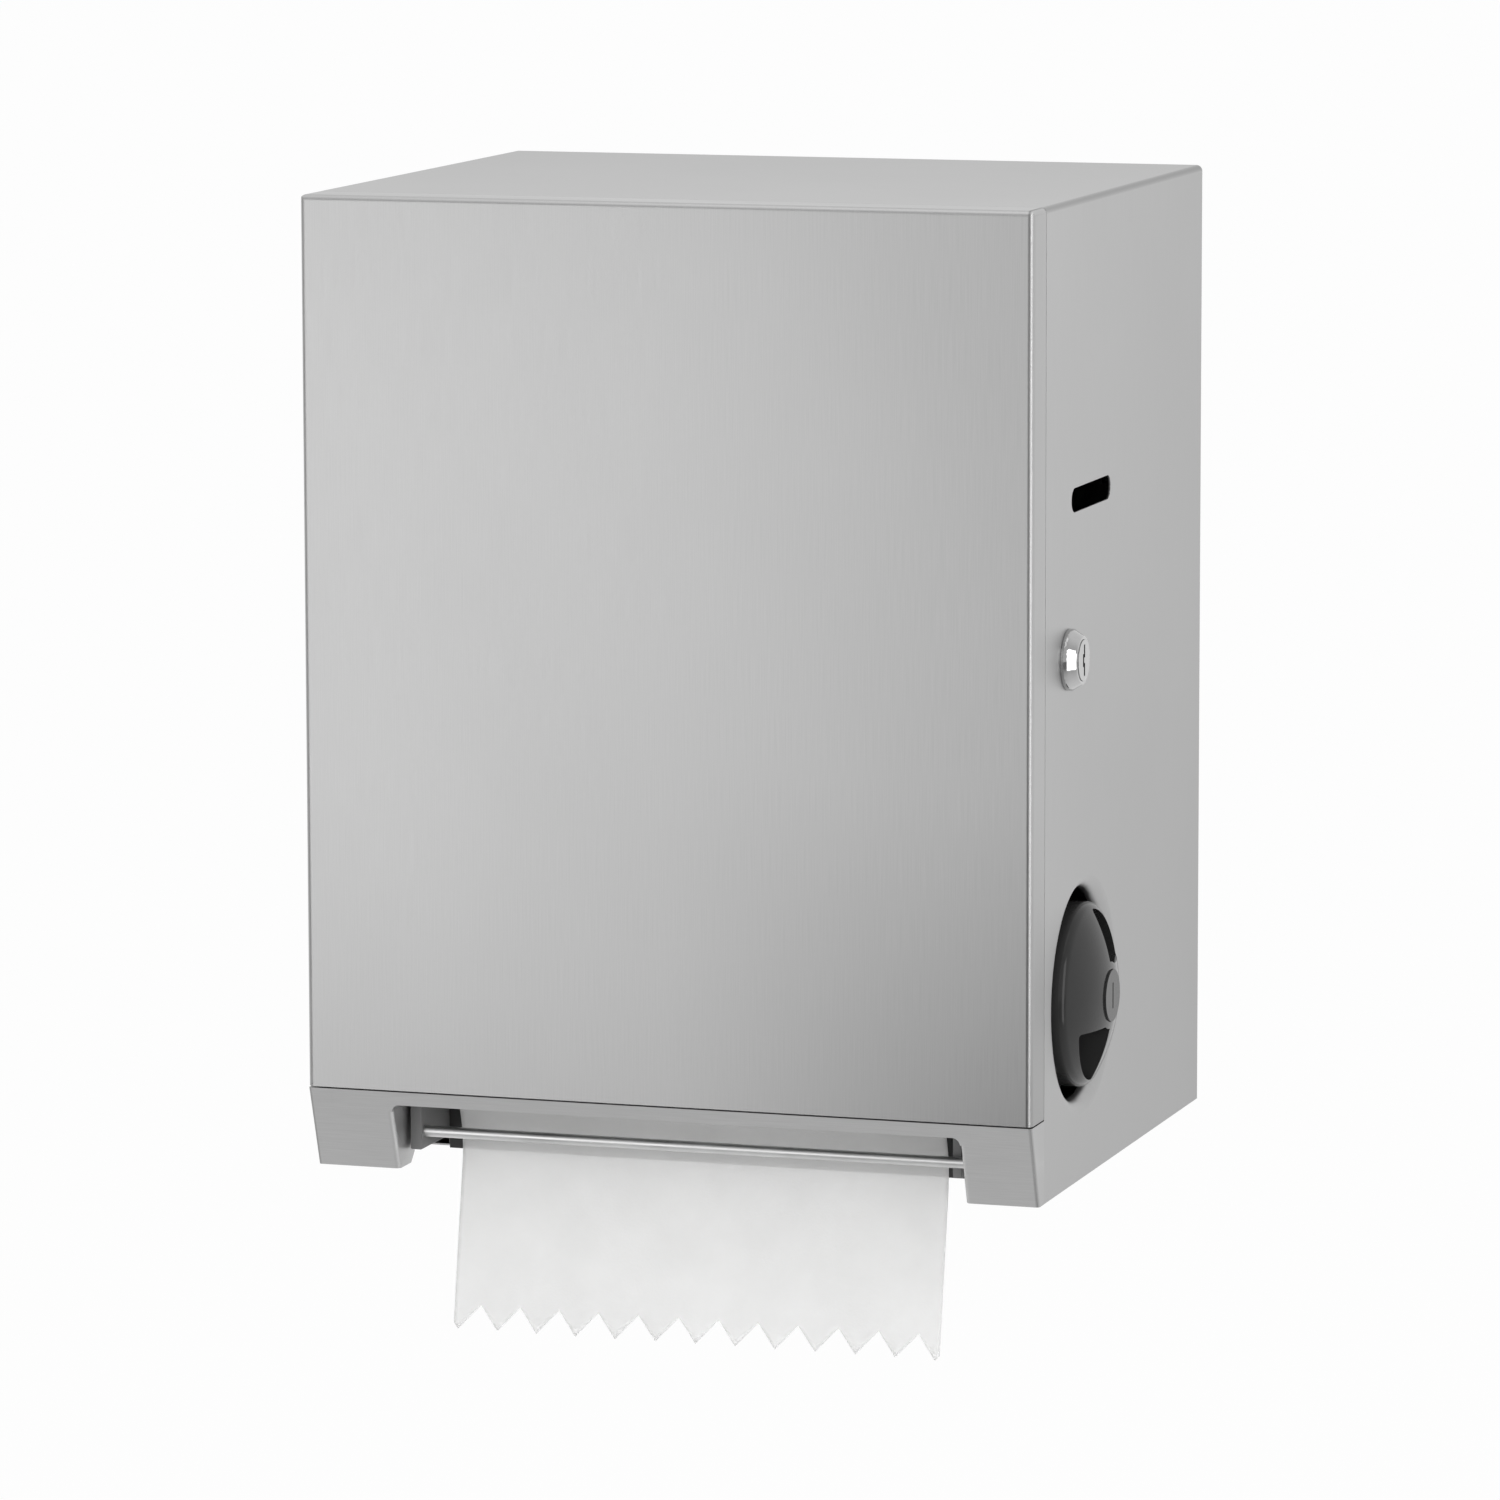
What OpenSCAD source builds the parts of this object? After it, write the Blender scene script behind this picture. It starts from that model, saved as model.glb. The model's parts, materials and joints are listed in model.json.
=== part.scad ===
// Wall-mounted roll paper towel dispenser in brushed steel sheet.
// Pieces are drawn in a bench frame: x from mid width, y back from the door's face,
// z up from the cabinet's bottom edge. bench() then sets the origin on the wall plane,
// at the middle of the four wall bolts.

/* [Cabinet] */
// Width across the side panels
body_w = 298; // [290:1:340]
// Depth from the door's face to the wall
body_d = 250; // [240:1:290]
// Height from the bottom edge to the top
body_h = 387; // [370:1:450]
// Thickness of the steel sheet
sheet = 0.9; // [0.7:0.1:1.4]
// Outside radius of the sheet's bends
bend_r = 2.5; // [2:0.1:4]

/* [Wall mount] */
// Height of the bolt pattern's middle above the bottom edge
mount_up = 193.5; // [185:0.5:210]
// Spacing of the wall bolts across
bolt_dx = 200; // [180:1:220]
// Spacing of the wall bolts up
bolt_dz = 250; // [230:1:270]
// Diameter of the wall bolt holes
bolt_hole_d = 6.5; // [5:0.1:8]

/* [Door] */
// Height of the door's lower edge
seam_up = 33.5; // [31:0.5:38]
// Depth of the door's flanges
flange_d = 17.3; // [15:0.1:20]
// Width of the open seam round the door
seam_gap = 0.6; // [0.5:0.1:1]

/* [Hinge] */
// Outside radius of the knuckles
knuckle_r = 2.2; // [1.9:0.1:2.5]
// Radius of the hinge pin
hinge_pin_r = 1.2; // [0.9:0.1:1.4]
// Number of knuckles
knuckle_n = 9; // [5:2:15]
// Width of a leaf from the pin
leaf_w = 12; // [8:1:13]
// Thickness of a leaf
leaf_t = 0.8; // [0.6:0.1:1]

/* [Apron] */
// How far the apron leans back at its foot
apron_lean = 11; // [8:0.5:16]
// Bend radius at the apron's sides
apron_bend = 1.5; // [1.5:0.5:5]
// Width of the mouth
mouth_w = 234; // [228:1:246]
// Distance of the mouth's middle to the right of the cabinet's
mouth_shift = 2.4; // [0:0.1:4]
// Height of the mouth's top edge
mouth_up = 27.3; // [24:0.1:29]
// Corner radius of the mouth
mouth_r = 3; // [2:0.5:7]
// Bend radius of the legs beside the mouth
leg_bend = 2; // [1.5:0.1:4]
// Depth of the flange over the mouth
return_d = 17; // [10:1:17]
// Depth of the flanges beside the mouth
leg_return = 28; // [20:1:32]

/* [Sight slot] */
// Length of the slot
slot_l = 57; // [40:1:70]
// Height of the slot
slot_h = 9.5; // [6:0.5:14]
// Distance of the slot's middle behind the face
slot_back = 82.6; // [70:0.1:110]
// Height of the slot's middle
slot_up = 270.3; // [255:0.1:300]

/* [Lock] */
// Distance of the lock's axis behind the face
lock_back = 50.5; // [48:0.1:56]
// Height of the lock's axis
lock_up = 209; // [195:0.5:225]
// Diameter of the lock's barrel
lock_d = 19; // [17:0.5:20]
// Diameter of the bezel
bezel_d = 24.2; // [22.5:0.1:27]
// How far the bezel stands out
bezel_h = 6; // [5:0.1:8]
// Diameter of the plug's head
plug_d = 16; // [14:0.1:16.5]
// Radius of the strike stud
stud_r = 3; // [2:0.1:3.5]
// Distance of the strike stud in front of the lock's axis
stud_ahead = 20; // [19:0.5:22]

/* [Feed drum] */
// Distance of the drum's axis behind the face
drum_back = 74; // [70:0.5:78]
// Height of the drum's axis
drum_up = 73.5; // [70:0.5:80]
// Diameter of the drum
drum_d = 97; // [92:0.5:100]
// Wall of the drum
drum_wall = 2.5; // [2:0.1:3]
// Thickness of the rubber grip bands
grip_t = 0.5; // [0.3:0.1:0.8]
// Width of a grip band
grip_w = 14; // [8:1:20]
// Number of grip bands
grip_n = 5; // [3:1:7]
// Radius of the drum's axle
axle_r = 5; // [4:0.1:6]

/* [Knife] */
// Angle of the knife slot round the drum at rest
slot_angle = 250; // [246:1:254]
// Distance of the knife pivot from the drum's axis, towards the slot
knife_rise = 33; // [32:0.1:33.5]
// Distance of the knife pivot behind the slot
knife_trail = 23; // [22:0.1:24]
// Radius of the knife's pivot rod
knife_rod_r = 2; // [1.5:0.1:2.2]
// Thickness of the blade
blade_t = 1; // [0.8:0.1:1.2]

/* [Pinch roller] */
// Diameter of the pinch roller
pinch_d = 22; // [18:0.5:24]
// Radius of the pinch axle
pinch_axle_r = 3; // [2.5:0.1:3.5]
// Distance of the yoke's pivot behind the pinch roller
yoke_reach = 42; // [40:0.5:46]

/* [Knob] */
// Diameter of the knob
knob_d = 73; // [66:0.5:76]
// Depth of the knob, from its back to the hub cap
knob_deep = 24.5; // [23:0.5:28]
// Radius of the knob's dome
dome_r = 70; // [62:1:80]
// Rounding of the knob's rim
knob_edge = 4; // [3:0.5:5]
// Half width of the bar between the knob's two pockets
pocket_up = 11.7; // [10:0.1:13]
// Diameter of the hub cap
cap_d = 20.5; // [17:0.1:22]
// How far the hub cap stands out of the side panel
cap_proud = 12; // [11:0.1:14]
// Diameter of the knob's hole
knob_hole_d = 83.5; // [82:0.5:90]
// Radius of the hole's rolled lip
lip_r = 6; // [4:0.1:8]

/* [Paper] */
// Width of the paper
paper_w = 203; // [190:1:206]
// Thickness of the paper
paper_t = 0.3; // [0.2:0.05:0.4]
// Diameter of the paper roll
roll_d = 150; // [110:1:180]
// Inside diameter of the core
core_d = 38; // [34:0.5:40]
// Wall of the core
core_wall = 2; // [1:0.1:3]
// Distance of the roll's axis behind the face
roll_back = 128; // [122:0.5:136]
// Height of the roll's axis
roll_up = 272; // [262:0.5:280]
// Drop of the torn edge below the cabinet's bottom
tail_drop = 69; // [40:1:100]
// Spacing of the teeth of the torn edge and of the blade
tooth_pitch = 16.6; // [15:0.1:16.6]
// Height of the teeth of the torn edge
tooth_h = 10; // [6:0.5:12]

/* [Mechanism frame] */
// Thickness of the side frames
frame_t = 3.5; // [3:0.1:5]
// Radius of the guide bar
bar_r = 2.2; // [1.8:0.1:2.8]
// Distance of the guide bar behind the face
bar_back = 25; // [24:0.5:27]
// Height of the guide bar
bar_up = 13; // [10:0.5:13]
// Radius of the tie rods
tie_r = 3; // [2.5:0.1:4]
// Thickness of the roll arms
arm_t = 2.5; // [2:0.1:3]

/* [Hidden] */
$fn = 64;

// Gap between faces of pieces that move apart
clear = 0.3;
// Radial clearance of running fits
fit = 0.05;
// Overrun of cutting shapes
over = 1;

steel = [0.74, 0.74, 0.74];
bright = [0.86, 0.86, 0.87];
black = [0.09, 0.09, 0.1];
grey = [0.3, 0.3, 0.32];
rubber = [0.2, 0.2, 0.2];
paper = [0.95, 0.95, 0.93];
card = [0.66, 0.55, 0.42];
bronze = [0.7, 0.55, 0.32];

// Sheet cabinet
wall = body_w / 2;
in_x = wall - sheet;
back_in = body_d - sheet;
wrap_front = flange_d + seam_gap;
bottom_ahead = 12;
bottom_front = drum_back - bottom_ahead;

// Hinge
hinge_x = -(wall - sheet / 2);
hinge_y = flange_d + seam_gap / 2;
hinge_low = seam_up + sheet + clear;
hinge_high = body_h - bend_r;
hinge_relief = knuckle_r + clear;
knuckle_l = (hinge_high - hinge_low) / knuckle_n;

// Apron
apron_top = seam_up - seam_gap;
apron_tilt = atan(apron_lean / apron_top);
apron_flange = 14;
leg_bevel = 4;
mouth_right = mouth_w / 2 + mouth_shift;
mouth_left = mouth_w / 2 - mouth_shift;
leg_up = mouth_up - mouth_r;

// Mechanism, outwards from the paper
drum_r = drum_d / 2;
grip_r = drum_r + grip_t;
drum_margin = 3.5;
drum_half = paper_w / 2 + drum_margin;
disc_t = 3;
side_gap = 4;
frame_in = drum_half + side_gap;
frame_out = frame_in + frame_t;
drum_at = [drum_back, drum_up];
bar_at = [bar_back, bar_up];
pinch_r = pinch_d / 2;
pinch_at = [drum_back, drum_up + grip_r + paper_t + 2 * clear + pinch_r];
yoke_lift = 5;
yoke_at = pinch_at + [yoke_reach, yoke_lift];
yoke_bar_lift = 15;
yoke_bar_at = pinch_at + [yoke_reach / 2, yoke_bar_lift];
yoke_bar_r = 3.5;
yoke_rod_r = 3;
yoke_gap = 0.5;
yoke_in = drum_half + yoke_gap;
yoke_t = 2;
yoke_out = yoke_in + yoke_t;
yoke_eye = 4;
yoke_rim = 1.5;
frame_reach = 80;
frame_back = drum_back + frame_reach;
frame_low = 6;
nose_rise = 8;
nose_ahead = 4;
nose_root = 5;
nose_front = bar_back - nose_ahead;
nose_top = mouth_up + nose_rise;
// Gap of a frame's cheek to the apron's leg and to the guide bar
nose_gap = 1;
nose_back = bar_back + bar_r + nose_gap;
frame_neck = 18;
frame_brow = 18;
frame_crown = 54;
frame_heel = 46;
yoke_horn = [12, 14];
frame_foot = 14;
foot_t = 2.5;
foot_end = 10;
foot_screw_back = 38;
foot_screw_first = drum_back + foot_screw_back;
foot_screw_step = 22;
foot_screw_y = [foot_screw_first, foot_screw_first + foot_screw_step];
chassis_t = 2;
chassis_screw_x = paper_w / 3;
tie_inset = 12;
tie_drop = 44;
tie_rise = 40;
tie_at = [for (z = [-tie_drop, tie_rise]) [frame_back - tie_inset, drum_up + z]];
bush_wall = 3;
bush_r = axle_r + bush_wall;
bush_flange = 1.5;
bush_rim = 2.5;

// Chute
guide_t = 2.5;
guide_ahead = 8.5;
guide_front = bottom_front - guide_ahead;
guide_h = 18.5;
guide_shelf = 40;
guide_ribs = 5;

// Knife, in the drum's own frame: u along the slot's radius, v ahead of it
knife_at = [knife_rise, -knife_trail];
knife_eye = 2;
blade_tip = drum_r - drum_wall;
blade_w = 10.5;
blade_root = blade_tip - blade_w;
blade_lap = 4;
blade_tooth_h = 5;
blade_screw_n = 5;
blade_screw_r = 1.2;
blade_screw_l = 5;
blade_screw_up = 2;
blade_head_r = 2.2;
blade_head_t = 1.2;
carrier_margin = 12;
carrier_half = paper_w / 2 - carrier_margin;
follower_set = [-8, -10];
follower_at = knife_at + follower_set;
follower_r = 3;
follower_gap = 0.6;
follower_t = 1.4;
cam_in = norm(follower_at) + follower_r + 2 * clear;
cam_band = 5;
cam_out = cam_in + cam_band;
cam_depth = 3.5;
cam_reach = 60;
slot_ahead = 5;
slot_behind = 13;

// Springs
spring_wire = 0.6;
spring_gap = 0.2;
yoke_spring_l = 10;
yoke_spring_n = 6;
knife_spring_l = 8;
knife_spring_n = 5;
arm_spring_l = 8;
arm_spring_n = 4;

// Knob
knob_r = knob_d / 2;
knob_low = cap_proud - knob_deep;
knob_base = 5;
knob_floor = knob_low + knob_base;
cap_r = cap_d / 2;
cap_t = 3.5;
cap_slot = [0.5 * cap_r, 0.6, 0.8];
hub_wall = 3;
pocket_r = 29;
pocket_at = [-1.5, 5];
pocket_in = cap_r + hub_wall;
dome_at = cap_proud - dome_r;
edge_r = knob_r - knob_edge;
edge_rise = sqrt(pow(dome_r - knob_edge, 2) - pow(edge_r, 2));
edge_at = dome_at + edge_rise;
knob_hole_r = knob_hole_d / 2;
axle_end = 3;
axle_tail = 3;
axle_thread = 10;
knob_web = 3;
knob_screw_l = 12;

// Lock, along the outward normal of the right side
lock_at = [lock_back, lock_up];
lock_r = lock_d / 2;
lock_len = 14;
nut_t = 4.5;
nut_rim = 4.5;
nut_r = lock_r + nut_rim;
bezel_wall = 1.4;
bezel_rim_h = 0.3 * bezel_h;
plug_r = plug_d / 2;
plug_head = 2.3;
plug_lip = 1.7;
plug_shaft_r = plug_r - plug_lip;
cam_seat_r = 4;
cam_boss = 5;
cam_t = 2.5;
cam_gap = 3;
cam_x = wall - lock_len - cam_gap - cam_t;
cam_screw_r = 1.8;
cam_screw_l = 8;
cam_head_r = cam_seat_r + 2;
finger_play = 1;
finger_in = stud_ahead + stud_r + finger_play;
finger_w = 4;
finger_out = finger_in + finger_w;
finger_lag = 295;
finger_span = 50;
finger_arm = 6;
stud_at = [lock_back - stud_ahead, lock_up];
stud_shank_r = 0.7 * stud_r;
strike_t = 3;
strike_step = 2.6;
strike_out = in_x - strike_step;
strike_half = 12;
strike_inset = 3;
strike_front = sheet + strike_inset;
strike_seat = flange_d - strike_inset;
strike_lap = 2.5;
strike_end = stud_at[0] + stud_r + strike_lap;

// Paper roll and its arms
roll_at = [roll_back, roll_up];
roll_r = roll_d / 2;
core_r = core_d / 2;
core_out = core_r + core_wall;
arm_in = paper_w / 2 + side_gap;
arm_half = 12;
arm_pin_r = 2.5;
arm_pin_ahead = 11;
arm_pin_y = back_in - arm_pin_ahead;
arm_pin_x = arm_in + arm_t / 2;
arm_foot_w = 22;
arm_foot_half = 28;
ear_t = 3;
ear_half = 5;
eye_wall = 2;
eye_h = 6.5;
eye_gap = 6.5;
hub_flange_t = 2.5;
hub_rim = 4;
hub_flange_r = core_out + hub_rim;
hub_lap = 13.5;
hub_in = paper_w / 2 - hub_lap;
hub_taper = 2;
arm_screw_x = arm_in + 14;
arm_screw_half = 21;
screw_r = 2;
screw_head_r = 3.8;
screw_head_t = 2.2;

// Paper path: tangent off the roll, under the pinch roller, over the drum, out at the mouth
web_pinch = pinch_r + clear;
web_roll = roll_r + clear;
web_drum = grip_r + clear;
web_span = roll_at - pinch_at;
nip_angle = -85;
web_phi = atan2(web_span[1], web_span[0]) - acos((web_pinch - web_roll) / norm(web_span));
leave_angle = 205;
exit_l = 36.5;
tail_bend = 40;
tail_end_angle = -10;
tail_top = drum_at + web_drum * dir(leave_angle) + exit_l * dir(leave_angle + 90);
tail_centre = tail_top + tail_bend * dir(leave_angle);
tooth_n = floor(paper_w / tooth_pitch);

function dir(a) = [cos(a), sin(a)];
function arc(c, r, a0, a1, n) = [for (i = [0:n]) c + r * dir(a0 + (a1 - a0) * i / n)];
function backwards(p) = [for (i = [len(p) - 1:-1:0]) p[i]];

module bench() translate([0, -body_d, -mount_up]) children();
module pair() { children(); mirror([1, 0, 0]) children(); }
module slab(lo, hi) translate(lo) cube(hi - lo);
module along_x(x0, x1) translate([x0, 0, 0]) rotate([90, 0, 90]) linear_extrude(x1 - x0) children();
module along_y(y0, y1) translate([0, y1, 0]) rotate([90, 0, 0]) linear_extrude(y1 - y0) children();
module rod_x(x0, x1, r, p) translate([x0, p[0], p[1]]) rotate([0, 90, 0]) cylinder(h = x1 - x0, r = r);
module tube_x(x0, x1, r, bore, p) difference() {
  rod_x(x0, x1, r, p);
  rod_x(x0 - over, x1 + over, bore, p);
}
// A profile of radius and height, turned about an axis that points out along +x
module turned_x(x0, p) translate([x0, p[0], p[1]]) rotate([0, 90, 0]) rotate_extrude() children();
// The drum's own frame at rest
module in_drum() translate([0, drum_back, drum_up]) rotate([slot_angle, 0, 0]) children();
// A straight bar of half width waist, with round ends, between two points of a plane
module link(p, q, r, waist) {
  translate(p) circle(r);
  translate(q) circle(r);
  translate(p) rotate(atan2(q[1] - p[1], q[0] - p[0]))
    translate([0, -waist]) square([norm(q - p), 2 * waist]);
}
// Upright sheet outline, width w and height h, with its two top corners rounded
module arch(w, h, r) {
  translate([-w / 2, 0]) square([w, h - r]);
  translate([r - w / 2, 0]) square([w - 2 * r, h]);
  for (s = [-1, 1]) translate([s * (w / 2 - r), h - r]) circle(r);
}
// Cap screw with its head's seat at the origin and its shank along -z
module screw(shank) {
  cylinder(h = screw_head_t, r = screw_head_r);
  translate([0, 0, -shank]) cylinder(h = shank + over, r = screw_r);
}
// Coil of round wire along x, from x = 0, one unbroken tube
module coil(r, wire, turns, length) {
  rings = 10 * turns;
  sides = 6;
  points = [for (i = [0:rings]) for (k = [0:sides - 1])
    let (a = 360 * turns * i / rings, b = 360 * k / sides, rr = r + wire * cos(b))
    [length * i / rings + wire * sin(b), rr * cos(a), rr * sin(a)]];
  walls = [for (i = [0:rings - 1]) for (k = [0:sides - 1])
    let (n = (k + 1) % sides, lo = i * sides, hi = lo + sides)
    each [[lo + k, hi + k, hi + n], [lo + k, hi + n, lo + n]]];
  ends = [[for (k = [0:sides - 1]) k], [for (k = [sides - 1:-1:0]) rings * sides + k]];
  polyhedron(points, concat(walls, ends));
}

// Sides and top in one bent sheet
module cabinet_wrap() color(steel) bench() difference() {
  union() {
    difference() {
      along_y(wrap_front, body_d) difference() {
        arch(body_w, body_h, bend_r);
        translate([0, -over]) arch(2 * in_x, body_h - sheet + over, bend_r - sheet);
      }
      rod_x(in_x - over, wall + over, knob_hole_r + lip_r, drum_at);
      slab([-wall - over, 0, seam_up], [leaf_t - in_x, hinge_y + hinge_relief, body_h + over]);
    }
    knob_lip();
  }
  sight_slot();
  rod_x(in_x - over, wall + over, lock_r + fit, lock_at);
}
// Lip of the knob's hole, rolled inwards
module knob_lip() turned_x(wall - lip_r, drum_at) {
  intersection() {
    translate([knob_hole_r + lip_r, 0]) difference() {
      circle(lip_r);
      circle(lip_r - sheet);
    }
    translate([knob_hole_r, 0]) square(lip_r);
  }
  translate([knob_hole_r + lip_r, lip_r - sheet]) square([sheet, sheet]);
}
module sight_slot() {
  r = slot_h / 2;
  half = slot_l / 2 - r;
  along_x(in_x - over, wall + over)
    link([slot_back - half, slot_up], [slot_back + half, slot_up], r, r);
}

module back_plate() color(steel) bench() difference() {
  along_y(back_in, body_d) arch(2 * in_x, body_h - sheet, bend_r - sheet);
  for (x = [-1, 1]) for (z = [-1, 1])
    translate([x * bolt_dx / 2, body_d + over, mount_up + z * bolt_dz / 2])
      rotate([90, 0, 0]) cylinder(h = sheet + 2 * over, d = bolt_hole_d);
  arm_screw_places() cylinder(h = 4 * foot_t, r = screw_r + fit, center = true);
}

module bottom_panel() color(steel) bench() difference() {
  slab([-in_x, bottom_front, 0], [in_x, back_in, sheet]);
  frame_screw_places() cylinder(h = 4 * foot_t, r = screw_r + fit, center = true);
}

// The plane of the apron's leaning face
module on_apron() translate([0, 0, apron_top]) rotate([apron_tilt, 0, 0]) children();
// Half space behind it
module behind_apron(inset) on_apron() translate([0, inset, 0])
  linear_extrude(4 * seam_up, center = true) {
    r = apron_bend - inset;
    w = wall - inset;
    translate([-w, r]) square([2 * w, seam_up + r]);
    translate([r - w, 0]) square([2 * (w - r), 2 * r]);
    for (s = [-1, 1]) translate([s * (w - r), r]) circle(r);
  }
module mouth(grow) translate([mouth_shift, -over])
  arch(mouth_w + 2 * grow, mouth_up + grow + over, mouth_r + grow);
// Edge of the mouth, turned back
module mouth_return(deep) intersection() {
  behind_apron(0);
  along_y(0, deep) difference() {
    mouth(sheet);
    mouth(0);
  }
}
// The apron's sheet, still sharp at the legs' edges
module apron_sheet() {
  intersection() {
    union() {
      difference() {
        behind_apron(0);
        behind_apron(sheet);
        along_y(-wall, wall) mouth(0);
      }
      mouth_return(return_d);
      intersection() {
        behind_apron(0);
        slab([-wall, 0, apron_top - sheet], [wall, apron_flange, apron_top]);
      }
    }
    slab([-wall, -over, 0], [wall, wrap_front, apron_top]);
  }
  intersection() {
    mouth_return(leg_return);
    along_x(-wall, wall) polygon([
      [0, 0], [leg_return - leg_bevel, 0], [leg_return, leg_bevel],
      [leg_return, leg_up], [0, leg_up]]);
  }
}
// A profile at each edge of the mouth, outwards from the edge and back from the face, up the legs
module on_legs() intersection() {
  translate([mouth_shift, 0, 0]) pair() on_apron() translate([mouth_w / 2, 0, -2 * apron_top])
    linear_extrude(4 * apron_top) children();
  slab([-wall, -over, 0], [wall, wrap_front, leg_up]);
}
module front_apron() color(steel) bench() {
  difference() {
    apron_sheet();
    on_legs() difference() {
      translate([-over, -over]) square(leg_bend + over);
      translate([leg_bend, leg_bend]) circle(leg_bend);
    }
  }
  on_legs() intersection() {
    square(leg_bend);
    translate([leg_bend, leg_bend]) difference() {
      circle(leg_bend);
      circle(leg_bend - sheet);
    }
  }
}

module knuckle_row(first, r) for (i = [first:2:knuckle_n - 1])
  translate([hinge_x, hinge_y, hinge_low + i * knuckle_l])
    cylinder(h = knuckle_l - clear, r = r);
// Reliefs for the other leaf's knuckles, a little longer than these
module knuckle_notches(first) for (i = [first:2:knuckle_n - 1])
  translate([hinge_x, hinge_y, hinge_low + i * knuckle_l - clear])
    cylinder(h = knuckle_l + clear, r = hinge_relief);
module hinge_leaf(y0, y1, first) difference() {
  union() {
    slab([-in_x, y0, hinge_low], [leaf_t - in_x, y1, hinge_high - clear]);
    knuckle_row(first, knuckle_r);
  }
  knuckle_notches(1 - first);
  translate([hinge_x, hinge_y, hinge_low - over])
    cylinder(h = hinge_high, r = hinge_pin_r + fit);
}
module hinge_leaf_cabinet() color(steel) bench() hinge_leaf(hinge_y, hinge_y + leaf_w, 0);
module hinge_leaf_door() color(steel) bench() hinge_leaf(hinge_y - leaf_w, hinge_y, 1);
module hinge_pin() color(bright) bench() translate([hinge_x, hinge_y, hinge_low])
  cylinder(h = hinge_high - hinge_low - clear, r = hinge_pin_r);

// Body of the door's pan, drawn in by inset on the outside faces
module pan(inset, low) {
  w = body_w - 2 * inset;
  r = bend_r - inset;
  intersection() {
    translate([0, 0, low]) linear_extrude(body_h) mirror([0, 1]) translate([0, -flange_d - inset])
      arch(w, flange_d, r);
    translate([-wall, 0, 0]) along_x(0, body_w) {
      translate([inset, 0]) square([flange_d, body_h - inset - r]);
      translate([inset + r, 0]) square([flange_d, body_h - inset]);
      translate([inset + r, body_h - inset - r]) circle(r);
    }
    along_y(0, flange_d + over) arch(w, body_h - inset, r);
  }
}
module door_panel() color(steel) bench() difference() {
  pan(0, seam_up);
  pan(sheet, seam_up + sheet);
  slab([-wall - over, hinge_y - hinge_relief, 0], [leaf_t - in_x, body_d, body_h + over]);
}

// Tongue welded to the door's right flange, which carries the stud
module strike_bracket() color(steel) bench() difference() {
  union() {
    slab([strike_out - strike_t, strike_front, lock_up - strike_half],
         [strike_out, strike_end, lock_up + strike_half]);
    slab([strike_out - over, strike_front, lock_up - strike_half],
         [in_x, strike_seat, lock_up + strike_half]);
  }
  rod_x(cam_x, wall, stud_shank_r + fit, stud_at);
}
module strike_stud() color(bright) bench() {
  rod_x(cam_x - over, strike_out - strike_t, stud_r, stud_at);
  rod_x(strike_out - strike_t - over, strike_out, stud_shank_r, stud_at);
}
module lock_body() color(bright) bench() difference() {
  union() {
    turned_x(wall, lock_at) polygon([
      [0, 0], [bezel_d / 2, 0], [bezel_d / 2, bezel_rim_h], [plug_r + bezel_wall, bezel_h], [0, bezel_h]]);
    rod_x(wall - lock_len, wall, lock_r, lock_at);
  }
  rod_x(wall + bezel_h - plug_head, wall + bezel_h + over, plug_r + fit, lock_at);
  rod_x(wall - lock_len - over, wall + bezel_h, plug_shaft_r + fit, lock_at);
}
module lock_nut() color(bright) bench() difference() {
  translate([in_x - nut_t, lock_back, lock_up]) rotate([0, 90, 0]) cylinder(h = nut_t, r = nut_r, $fn = 6);
  rod_x(in_x - nut_t - over, in_x + over, lock_r + fit, lock_at);
}
module lock_plug() color(bright) bench() difference() {
  union() {
    rod_x(wall + bezel_h - plug_head, wall + bezel_h + clear, plug_r, lock_at);
    rod_x(wall - lock_len - cam_gap, wall + bezel_h, plug_shaft_r, lock_at);
    rod_x(cam_x, wall - lock_len, cam_seat_r, lock_at);
  }
  keyway();
  rod_x(cam_x - over, cam_x + cam_screw_l, cam_screw_r + fit, lock_at);
}
// Wavy key slot: three short slots that step sideways
module keyway() {
  step = plug_r / 10;
  part = plug_r * 0.45;
  for (i = [-1, 0, 1]) translate([wall, lock_back + step * (i == 0 ? -1 : 0.6), lock_up + i * part])
    slab([0, -step, -part * 0.7], [wall, step, part * 0.7]);
}
module lock_cam() color(steel) bench() along_x(cam_x, cam_x + cam_t) translate(lock_at) difference() {
  union() {
    circle(cam_seat_r + cam_boss);
    rotate(finger_lag) translate([0, -finger_arm / 2]) square([finger_out - finger_w / 3, finger_arm]);
    intersection() {
      difference() {
        circle(finger_out);
        circle(finger_in);
      }
      polygon(concat([[0, 0]], arc([0, 0], 2 * finger_out, finger_lag - finger_span, finger_lag, 4)));
    }
  }
  circle(cam_seat_r + fit);
}
module cam_screw() color(bright) bench() {
  translate([cam_x - screw_head_t, lock_back, lock_up]) rotate([0, 90, 0])
    cylinder(h = screw_head_t, r = cam_head_r, $fn = 6);
  rod_x(cam_x - over, cam_x + cam_screw_l - over, cam_screw_r, lock_at);
}

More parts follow.
